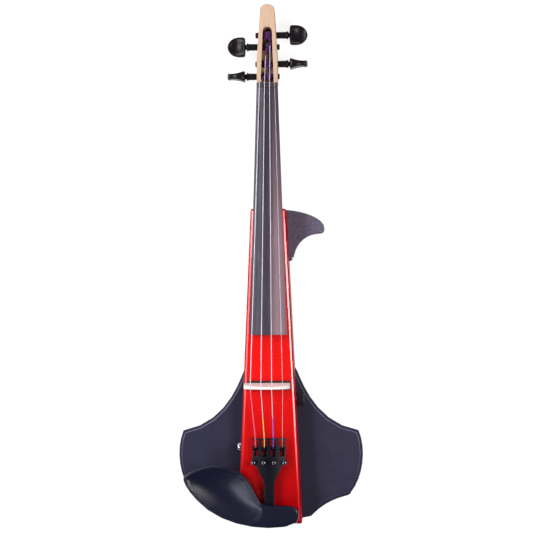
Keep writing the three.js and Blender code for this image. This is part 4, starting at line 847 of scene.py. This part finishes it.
def rib_tree():
    """Round ribs set round a core, as a knurled head or a grip has."""
    board = Group(GROWING, "ribs round a core", Geometry="Geometry", Count=12, Ring_radius=3 * MM,
                  Rib_radius=0.4 * MM, Foot=0.0, Height=4 * MM, Material="Material")
    ring = board.ring(board["Count"], board["Ring radius"])
    points = board.out("GeometryNodeCurveToPoints", {"Curve": ring}, mode="EVALUATED")
    foot = board.point(z=board["Foot"])
    top = board.point(z=board.add(board["Foot"], board["Height"]))
    stick = board.out("GeometryNodeCurvePrimitiveLine", {"Start": foot, "End": top})
    rib = board.swept(stick, board.ring(10, board["Rib radius"]))
    ribs = board.out("GeometryNodeInstanceOnPoints", {"Points": points, "Instance": rib})
    both = board.put("GeometryNodeJoinGeometry")
    for shape in (ribs, board["Geometry"]):
        board.tree.links.new(shape, both.inputs[0])
    return board.grow(both.outputs[0])


def row_tree():
    """One shape set down on every point of a set, each turned by chance."""
    board = Group(GROWING, "one on every point", Geometry="Geometry", Shape="Object", Material="Material")
    shape = board.out("GeometryNodeObjectInfo", {"Object": board["Shape"]}, "Geometry")
    spots = board.out("GeometryNodeMeshToPoints", {"Mesh": board["Geometry"]})
    turns = board.out("FunctionNodeRandomValue", {"Seed": 7}, 1, data_type="FLOAT")
    copies = {"Points": spots, "Instance": shape, "Rotation": board.point(z=board.times(turns, 3.0))}
    return board.grow(board.out("GeometryNodeInstanceOnPoints", copies))


BAR = bar_tree()
RIBS = rib_tree()
ROW = row_tree()


def grown(name, tree, mesh, angle, **values):
    """Grows a piece from a start mesh, bakes it into a plain mesh and creases that."""
    made = hold(name, mesh)
    work = made.modifiers.new("grown", "NODES")
    work.node_group = tree
    for item in tree.interface.items_tree:
        key = item.name.replace(" ", "_")
        if item.in_out == "INPUT" and key in values:
            work[item.identifier] = values[key]
    settled(made)
    creased(made.data, angle)
    return made


def drawn(name, places, edges=(), faces=()):
    """A mesh of bare points, edges or faces, its places in metres."""
    mesh = bpy.data.meshes.new(name)
    mesh.from_pydata(places, edges, faces)
    return mesh


def bar(name, places, radius, material, sides=12, fillet=0.0):
    """A round bar through places in mm."""
    steps = [(i, i + 1) for i in range(len(places) - 1)]
    line = drawn("line", [Vector(place) * MM for place in places], steps)
    return grown(name, BAR, line, 50.0, Radius=radius * MM, Sides=sides, Fillet=fillet * MM,
                 Material=material)


# Camera, floor and light
def stood(name, data, towards, away, roll=0.0):
    """Stands the camera or a lamp off the middle of the instrument, facing it."""
    across = Vector((0, 1, 0)).cross(towards).normalized()
    upward = towards.cross(across)
    right = cos(roll) * across - sin(roll) * upward
    up = sin(roll) * across + cos(roll) * upward
    made = hold(name, data)
    turn = Matrix((right, up, towards)).transposed().to_4x4()
    made.matrix_world = Matrix.Translation(MIDDLE + towards * away) @ turn
    return made


def stand_camera():
    """The photograph's view: nearly square on, from 1.9 m, its middle a little off centre in pixels."""
    lean, roll, away = radians(2.8), radians(0.33), 1.9
    photo_width, off_centre = 533, -2.25
    lens = bpy.data.cameras.new("camera")
    lens.sensor_width, lens.lens = 36, 117.41
    lens.shift_x = off_centre / photo_width
    lens.clip_start, lens.clip_end = 0.05, 20
    towards = Vector((sin(lean), 0, cos(lean)))
    bpy.context.scene.camera = stood("camera", lens, towards, away, roll)
    bpy.context.scene.view_settings.view_transform = "Standard"


def lamp(name, towards, away, size, power, color=(1, 1, 1)):
    """A soft box that looks at the middle of the instrument."""
    light = bpy.data.lights.new(name, "AREA")
    light.shape = "RECTANGLE"
    light.size, light.size_y = size
    light.energy = power
    light.color = color
    stood(name, light, Vector(towards).normalized(), away)


def seen_rays(board):
    """1 where the eye, a mirror or glass looks at a surface."""
    path = board.put("ShaderNodeLightPath").outputs
    first = board.reckon("MAXIMUM", path["Is Camera Ray"], path["Is Glossy Ray"])
    return board.reckon("MAXIMUM", first, path["Is Transmission Ray"])


def surround_room():
    """Pale walls, darker behind the tail, under a darker ceiling; the eye itself sees white."""
    world = bpy.data.worlds.new("pale room")
    board = Board(cleared(world))
    towards = board.parts(board.out("ShaderNodeTexCoord", result="Generated"))
    walls = board.spread(towards["Y"], -0.9, 0.7, 0.4, 1.0)
    room = board.times(walls, board.spread(towards["Z"], 0.05, 0.85, 0.75, 0.14))
    path = board.put("ShaderNodeLightPath").outputs
    seen = board.reckon("MAXIMUM", path["Is Camera Ray"], path["Is Transmission Ray"])
    strength = board.add(room, board.times(seen, board.minus(1.0, room)))
    shade = board.out("ShaderNodeBackground", {"Color": (1, 1, 1, 1), "Strength": strength})
    board.put("ShaderNodeOutputWorld", {0: shade})
    bpy.context.scene.world = world


def lay_floor():
    """White paper that holds soft shadows and never looks darker than pale grey."""
    half, drop, paleness, glow = 6, 0.4 * MM, 0.34, 0.84
    paper = bpy.data.materials.new("white paper")
    board = Board(cleared(paper))
    matt = board.out("ShaderNodeBsdfDiffuse", {"Color": (paleness, paleness, paleness, 1)})
    shown = board.out("ShaderNodeEmission", {"Strength": board.times(seen_rays(board), glow)})
    board.put("ShaderNodeOutputMaterial", {0: board.out("ShaderNodeAddShader", {0: matt, 1: shown})})
    corners = [(-half, -half, -drop), (half, -half, -drop), (half, half, -drop), (-half, half, -drop)]
    mesh = drawn("floor", corners, faces=[(0, 1, 2, 3)])
    mesh.materials.append(paper)
    hold("floor", mesh)


def hang_lamps():
    """A key lamp high on the bass side, and three soft windows; sizes in metres, power in watts."""
    lamp("key", (-0.8, 0.3, 1), away=1.7, size=(0.6, 0.6), power=16.5, color=(0.97, 0.98, 1))
    lamp("window", (0.5, -0.078, 1), away=1.3, size=(0.38, 0.4), power=7.5, color=(1, 0.93, 0.93))
    lamp("left window", (-0.68, -0.061, 1), away=1.5, size=(0.14, 0.36), power=1.0)
    lamp("low window", (-0.546, -0.587, 1), away=1.442, size=(0.3, 0.24), power=3.6, color=(0.82, 0.85, 1))


# Wooden and moulded pieces
def mark_inside_shade(made):
    """Marks what lies deep in the peg box, where its inside gets painted shade."""
    painted_light_mark = made.data.attributes.new("inside", "FLOAT", "POINT")
    for vert, value in zip(made.data.vertices, painted_light_mark.data):
        x, y, z = vert.co / MM
        out = y - NUT_BACK
        depth = BOX_FRONT - out * tan(BOX_TILT) - z
        deep = abs(x) < SLOT_HALF and 0 < out < SLOT_LENGTH and SLOT_LIP < depth < SLOT_DEPTH
        value.value = 1.0 if deep else 0.0


def build_chinrest():
    """The rest's CAD shape as one evenly rounded skin, its bowl smoothed further."""
    voxel, lip, bowl_rounds = 0.5 * MM, 1.2 * MM, 300
    made = hold("chinrest_shell", copied("chinrest"))
    step(made, "skin", "REMESH", mode="VOXEL", voxel_size=voxel, use_smooth_shade=True)
    step(made, "calm", "CORRECTIVE_SMOOTH", factor=0.5, iterations=8, use_only_smooth=True)
    settled(made)
    top = max(vert.co.z for vert in made.data.vertices)
    bowl = [vert.index for vert in made.data.vertices if vert.normal.z > 0.4 and vert.co.z < top - lip]
    made.vertex_groups.new(name="bowl").add(bowl, 1.0, "REPLACE")
    step(made, "soften", "SMOOTH", vertex_group="bowl", factor=0.8, iterations=bowl_rounds)
    settled(made)
    made.data.materials.clear()
    made.data.materials.append(REST)
    for face in made.data.polygons:
        face.use_smooth = True
    finished(made, ROOT, "black_composite", "chinrest")


def build_body():
    """The body and the pieces that are fixed to it."""
    rim_width, rim_drop = 4.7, 3.0
    dressed("body", ROOT, "red_lacquer", RED, 0.3, angle=12.0, crease=28.0)
    for side in ("treble", "bass"):
        dressed(f"{side}_wing", ROOT, "black_plate", PLATE, 0.3, rim=(rim_width, rim_drop), crease=13.0,
                finer=True)
    dressed("shoulder_fin", ROOT, "black_plate", FIN, 0.5, finer=True)
    dressed("back_cover", ROOT, "black_plate", COVER, 0.3)
    # The neck, with painted shade deep in its peg box.
    mark_inside_shade(dressed("neck", ROOT, "maple", MAPLE, 0.4, angle=38.0))
    for node, bevel in (("fingerboard", 0.4), ("nut", 0.25), ("saddle", 0.3), ("end_button", 0.3)):
        dressed(node, ROOT, "ebony", EBONY, bevel)
    dressed("pickup_bed", ROOT, "black_composite", BED, 0.2)
    dressed("bridge", ROOT, "bridge_maple", BRIDGE_WOOD, 0.2)
    dressed("tailpiece", ROOT, "black_composite", COMPOSITE, 0.25)


def build_clamp():
    for side in ("bass", "treble"):
        dressed(f"cork_{side}", ROOT, "cork", CORK, 0.15)
        dressed(f"clamp_hook_{side}", ROOT, "clamp_steel", CLAMP_STEEL, 0.25)
        dressed(f"clamp_barrel_{side}", f"{side}_barrel", "clamp_steel", CLAMP_STEEL, 0.15)
    dressed("clamp_foot", "clamp_foot_plate", "clamp_steel", CLAMP_STEEL, 0.25)
    dressed("foot_cork", "clamp_foot_plate", "cork", CORK, 0.15)


def build_inside():
    dressed("volume_pot", ROOT, "pot_steel", POT_STEEL, 0.2)
    dressed("battery", ROOT, "battery_case", SLEEVE, 0.4)
    dressed("preamp_board", ROOT, "board", GREEN_BOARD, 0.1)
    for name in ("pickup_lead", "jack_lead"):
        dressed(name, ROOT, "lead_jacket", RUBBER, 0)


# Pegs and turns of silk
def peg_post():
    """Shaft, bead and the thumb piece's foot, along Z from the tip."""
    bead = PEG_RING + BEAD_WIDTH
    profile = [(0.0, 0), (2.4, 0), (3.0, 0.25), (PEG_TIP_RADIUS, TIP_ROUND)]
    profile += [(PEG_TIP_RADIUS + PEG_TAPER * i / 12, TIP_ROUND + (PEG_RING - TIP_ROUND) * i / 12)
                for i in range(1, 13)]
    profile += [(3.95 + 0.45 * sin(pi * i / 10), PEG_RING + BEAD_WIDTH * i / 10) for i in range(10)]
    profile += [(3.5, bead), (2.7, bead + 0.35), (2.5, bead + 0.9), (2.7, bead + 1.6), (2.9, bead + 2.6),
                (0.0, bead + 2.8)]
    return turned(profile, "peg post", 56)


def peg_thumb():
    """The hollowed thumb piece, along Z, its width and thickness each a smooth curve."""
    start, slices, sides = PEG_RING + BEAD_WIDTH + 1.2, 44, 48
    length = PEG_END + PEG_TIP - start
    half = eased_curve([(0, 3.6), (0.015, 7.6), (0.04, 9.7), (0.1, 10.5), (0.28, 10.9), (0.5, 10.6),
                        (0.72, 9.0), (0.88, 6.2), (0.965, 3.4), (1, 1.2)], slices)
    thick = eased_curve([(0, 3.4), (0.03, 5.2), (0.08, 5.7), (0.15, 5.2), (0.3, 4.15), (0.48, 3.3),
                         (0.65, 2.95), (0.82, 3.1), (0.94, 3.5), (1, 2.4)], slices)
    rings = []
    for (share, wide), (_, deep) in zip(half, thick):
        hollow = 0.42 * sin(pi * min(max(share, 0.0), 1.0)) ** 0.8
        rounds = []
        for angle in round_the(sides):
            c, s = cos(angle), sin(angle)
            y = copysign(abs(c) ** 0.6, c)
            dish = 1 - hollow * (1 - y**2) ** 1.5
            rounds.append((y, copysign(abs(s) ** 0.5, s) * dish))
        fullest = max(z for _, z in rounds)
        rings.append([(wide * y, deep * z / fullest, start + share * length) for y, z in rounds])
    return ring_loft(rings, "peg thumb")


def peg_shape(name):
    """The whole peg in its place across the head."""
    thumb = peg_thumb()
    if name in THUMB_FACE_ON:
        thumb.transform(Matrix.Rotation(QUARTER, 4, "Z"))
    whole = joined(f"peg_{name}", peg_post(), thumb)
    if PEG_SIDE[name] < 0:
        whole.transform(Matrix.Rotation(pi, 4, "Z"))
    tip = Vector((-PEG_SIDE[name] * PEG_TIP, *peg_axis(name))) * MM
    return creased(placed(whole, tip, PEG_SIDE[name] * QUARTER, "Y"), 48.0)


def turn_points(name):
    """The silk's way round the peg, in mm, with its tail in the peg's hole."""
    across, begin, radius, slope, _ = turn_plan(name)
    axis_y, axis_z = peg_axis(name)
    turn_steps, bend_steps = 48, 8

    def at(angle, distance, x):
        return Vector((x, axis_y + distance * sin(angle), axis_z + distance * cos(angle)))

    forward = Vector((0, cos(slope), sin(slope)))
    inward = at(-slope, -1, 0) - at(-slope, 0, 0)
    loops = [at(FULL_TURN * i / turn_steps - slope, radius, begin + across * TURN_PITCH * i / turn_steps)
             for i in range(TURN_COUNT[name] * turn_steps + 1)]
    lead = loops[0] - forward * 2 * SILK_RADIUS
    bend = [loops[-1] + forward * SILK_BEND * sin(a) + inward * SILK_BEND * (1 - cos(a))
            for a in (QUARTER * i / bend_steps for i in range(1, bend_steps + 1))]
    return [lead, *loops, *bend, bend[-1] + inward * 2 * SILK_RADIUS]


def build_pegs():
    for name in STRINGS:
        mesh = peg_shape(name)
        mesh.materials.append(PEG_EBONY)
        finished(hold(f"peg_{name}_turned", mesh), f"{name}_peg", "ebony", f"peg_{name}")
        turns = bar(f"silk_turns_{name}", turn_points(name), SILK_RADIUS, HEAD_SILK, sides=14)
        finished(turns, f"{name}_peg", "winding_silk", f"winding_{name}")


# Strings
def build_strings():
    for name in STRINGS:
        nut, over, rail, fork = at_nut(name), at_bridge(name), at_rail(name), at_fork(name)
        wire_end = turn_plan(name)[-1]
        route = [wire_end, nut, at_nut(name, NUT_FRONT), over, rail, fork]
        steel = PLAIN if name == "e" else WOUND
        core = bar(f"string_{name}_wire", route, RADIUS[name], steel, fillet=STRING_BEND)
        finished(core, ROOT, "string_steel", f"string_{name}")
        wrap_radius = RADIUS[name] + SILK_THICKNESS
        first = over.lerp(rail, SILK_BEGIN[name])
        sleeves = [("silk", [first, rail, fork], SILKS[name])]
        if name in TIP_SILKS:
            change = over.lerp(rail, SILK_CHANGE[name])
            sleeves = [("tip_silk", [change, rail, fork], TIP_SILKS[name]),
                       ("silk", [first, change], SILKS[name])]
        sleeves += [("head_silk", [nut.lerp(wire_end, HEAD_SILK_BEGIN[name]), wire_end], HEAD_SILK)]
        for part, way, thread in sleeves:
            sleeve = bar(f"string_{name}_{part}", way, wrap_radius, thread, fillet=STRING_BEND)
            finished(sleeve, ROOT, "winding_silk")


# Tuners, cord, knob and socket
def build_tuner_screw(name):
    """Shank and knurled head; the profile's heights are taken from the CAD screw."""
    shank, head, head_length, rib = 1.2, 2.35, 5.0, 0.33
    low, top = (corner.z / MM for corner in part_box(f"tuner_screw_{name}"))
    foot = top - head_length
    core = turned([(0, low), (shank, low), (shank, foot), (2.2, foot), (head, foot + 0.3), (head, top - 0.9),
                   (2.1, top - 0.35), (1.5, top - 0.05), (0, top)], "tuner core", 40)
    made = grown(f"tuner_screw_{name}_head", RIBS, core, 40.0, Count=14, Ring_radius=(head - 0.03) * MM,
                 Rib_radius=rib * MM, Foot=(foot + 0.25) * MM, Height=4.0 * MM, Material=SCREW_HEAD)
    placed(made.data, Vector((SCREW_SPREAD * PLACE[name], SCREW_Y, 0)) * MM)
    finished(made, f"{name}_tuner_screw", "black_metal", f"tuner_screw_{name}")


def build_ball_end(name):
    """The string's drilled end, held under the lever's fork."""
    half, rim, hole = 1.0, 0.9, 0.35
    ball = turned([(hole, -half), (rim, -0.95), (1.0, -0.75), (1.0, 0.75), (rim, 0.95), (hole, half)],
                  "ball end", 32)
    placed(ball, (at_fork(name) + Vector((0, -1.2, -0.4))) * MM, QUARTER, "Y")
    ball.materials.append(BLACK_METAL)
    finished(hold(f"ball_end_{name}", creased(ball, 40.0)), f"{name}_tuner_lever", "black_metal")


def build_tuners():
    for name in STRINGS:
        build_tuner_screw(name)
        dressed(f"tuner_lever_{name}", f"{name}_tuner_lever", "black_metal", BLACK_METAL, 0.15)
        build_ball_end(name)


def build_cord():
    """The tail cord: up through the tailpiece on either side, over the saddle and round the button."""
    radius, half, hole_y, hole_top, hole_bend = 1.0, 3, -133, 48, 2.7
    saddle_y, saddle_z, saddle_bend = -149.3, 41, 1.3
    button_z, button_bend = 21, 5.3
    bends = np.linspace(0, QUARTER, 9)[1:]
    bend_z = saddle_z + saddle_bend + hole_bend
    leg = [(half, hole_y, hole_top), (half, hole_y, bend_z)]
    leg += [(half, hole_y - hole_bend * (1 - cos(a)), bend_z - hole_bend * sin(a)) for a in bends]
    leg += [(half, saddle_y, saddle_z + saddle_bend)]
    leg += [(half, saddle_y - saddle_bend * sin(a), saddle_z + saddle_bend * cos(a)) for a in bends]
    loop = [(button_bend * cos(a), saddle_y - saddle_bend, button_z - button_bend * sin(a))
            for a in np.linspace(0, pi, 33)]
    other = [(-x, y, z) for x, y, z in reversed(leg)]
    made = bar("tail_cord_loop", [*leg, *loop, *other], radius, CORD, sides=16)
    finished(made, ROOT, "cord_nylon", "tail_cord")


def side_face(node):
    """The middle of the face that a CAD piece turns to the bass side, and its length in mm."""
    low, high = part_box(node)
    return Vector((low.x, (low.y + high.y) / 2, (low.z + high.z) / 2)), (high.x - low.x) / MM


def build_knob():
    radius, length = 6.35, 8.0
    middle, _ = side_face("volume_knob")
    core = turned([(0.0, 0.0), (6.3, 0.0), (radius, 7.0), (6.1, 7.6), (5.2, length), (0, length)],
                  "knob core", 56)
    knob = grown("volume_knob_grip", RIBS, core, 40.0, Count=24, Ring_radius=(radius - 0.1) * MM,
                 Rib_radius=0.62 * MM, Foot=0.5 * MM, Height=6.5 * MM, Material=KNOB)
    placed(knob.data, middle, QUARTER, "Y")
    finished(knob, "volume_control", "black_composite", "volume_knob")


def build_socket():
    bore, bore_depth, barrel, axis = 3.3, 22.0, 4.2, 0.05
    middle, length = side_face("output_jack")
    wall = [(bore, 0.35), (3.55, 0.05), (3.9, 0.0), (barrel, 0.25), (4.45, 0.9), (4.5, 3.8), (barrel, 4.1),
            (barrel, length), (axis, length)]
    shell = turned([(axis, bore_depth), (bore, bore_depth), *wall], "socket", 56)
    shell.materials.append(CHROME)
    placed(shell, middle, QUARTER, "Y")
    finished(hold("output_socket", creased(shell)), ROOT, "jack_chrome", "output_jack")


# Screws
def recessed(made, top, reach, width, depth):
    """Cuts a cross recess into a screw's head, its sizes in mm."""
    for turn in (0, QUARTER):
        arm = bpy.data.meshes.new("arm")
        with bench(arm) as work:
            bmesh.ops.create_cube(work, size=1)
            bmesh.ops.scale(work, vec=Vector((reach * 2, width, depth * 2)) * MM, verts=work.verts)
        tool = hold("arm tool", placed(arm, Vector((0, 0, top)) * MM, turn))
        step(made, "cut", "BOOLEAN", operation="DIFFERENCE", object=tool, solver="EXACT")
        settled(made)
        bpy.data.objects.remove(tool)


def screw_row(name, nodes, head, shank, head_height, length):
    """Cross recess screws where the CAD nodes stand, their heads facing down and their shanks up."""
    shape = turned([(0, 0), (head * 0.92, 0), (head, 0.18), (shank, head_height), (shank, length - 1.5),
                    (0.1, length)], "screw", 40)
    pattern = hold("screw pattern", shape)
    recessed(pattern, 0, head * 0.55, head * 0.24, 0.7)
    creased(pattern.data)
    spots = []
    for node in nodes:
        low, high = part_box(node)
        spots.append(((low.x + high.x) / 2, (low.y + high.y) / 2, low.z))
    made = grown(name, ROW, drawn("spots", spots), 35.0, Shape=pattern, Material=STEEL)
    finished(made, ROOT, "screw_steel", *nodes)
    bpy.data.objects.remove(pattern)


def build_pan_screw():
    """The fin's small screw, its round head up."""
    head, shank, head_height = 1.6, 0.9, 1.1
    low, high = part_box("fin_tip_screw")
    foot, top = low.z / MM, high.z / MM
    profile = [(0, foot), (shank, foot + 0.4), (shank, top - head_height), (head, top - head_height),
               (1.58, top - 0.8), (1.35, top - 0.35), (0.9, top - 0.08), (0, top)]
    made = hold("fin_pan_screw", turned(profile, "pan screw", 40))
    recessed(made, top, 0.95, 0.38, 0.5)
    made.data.materials.append(STEEL)
    placed(made.data, ((low.x + high.x) / 2, (low.y + high.y) / 2, 0))
    creased(made.data)
    finished(made, ROOT, "screw_steel", "fin_tip_screw")


def build_screws():
    wings = [f"{side}_wing_screw_{end}" for side in ("bass", "treble") for end in ("top", "bottom")]
    screw_row("plate_screws", wings + ["fin_root_screw"], head=3.2, shank=1.5, head_height=1.7, length=16)
    cover = [f"cover_screw_{i}" for i in range(1, 5)]
    screw_row("cover_screws", cover, head=2.3, shank=1.1, head_height=1.2, length=8)
    build_pan_screw()


stand_camera()
surround_room()
lay_floor()
hang_lamps()
build_body()
build_chinrest()
build_clamp()
build_inside()
build_pegs()
build_strings()
build_tuners()
build_cord()
build_knob()
build_socket()
build_screws()
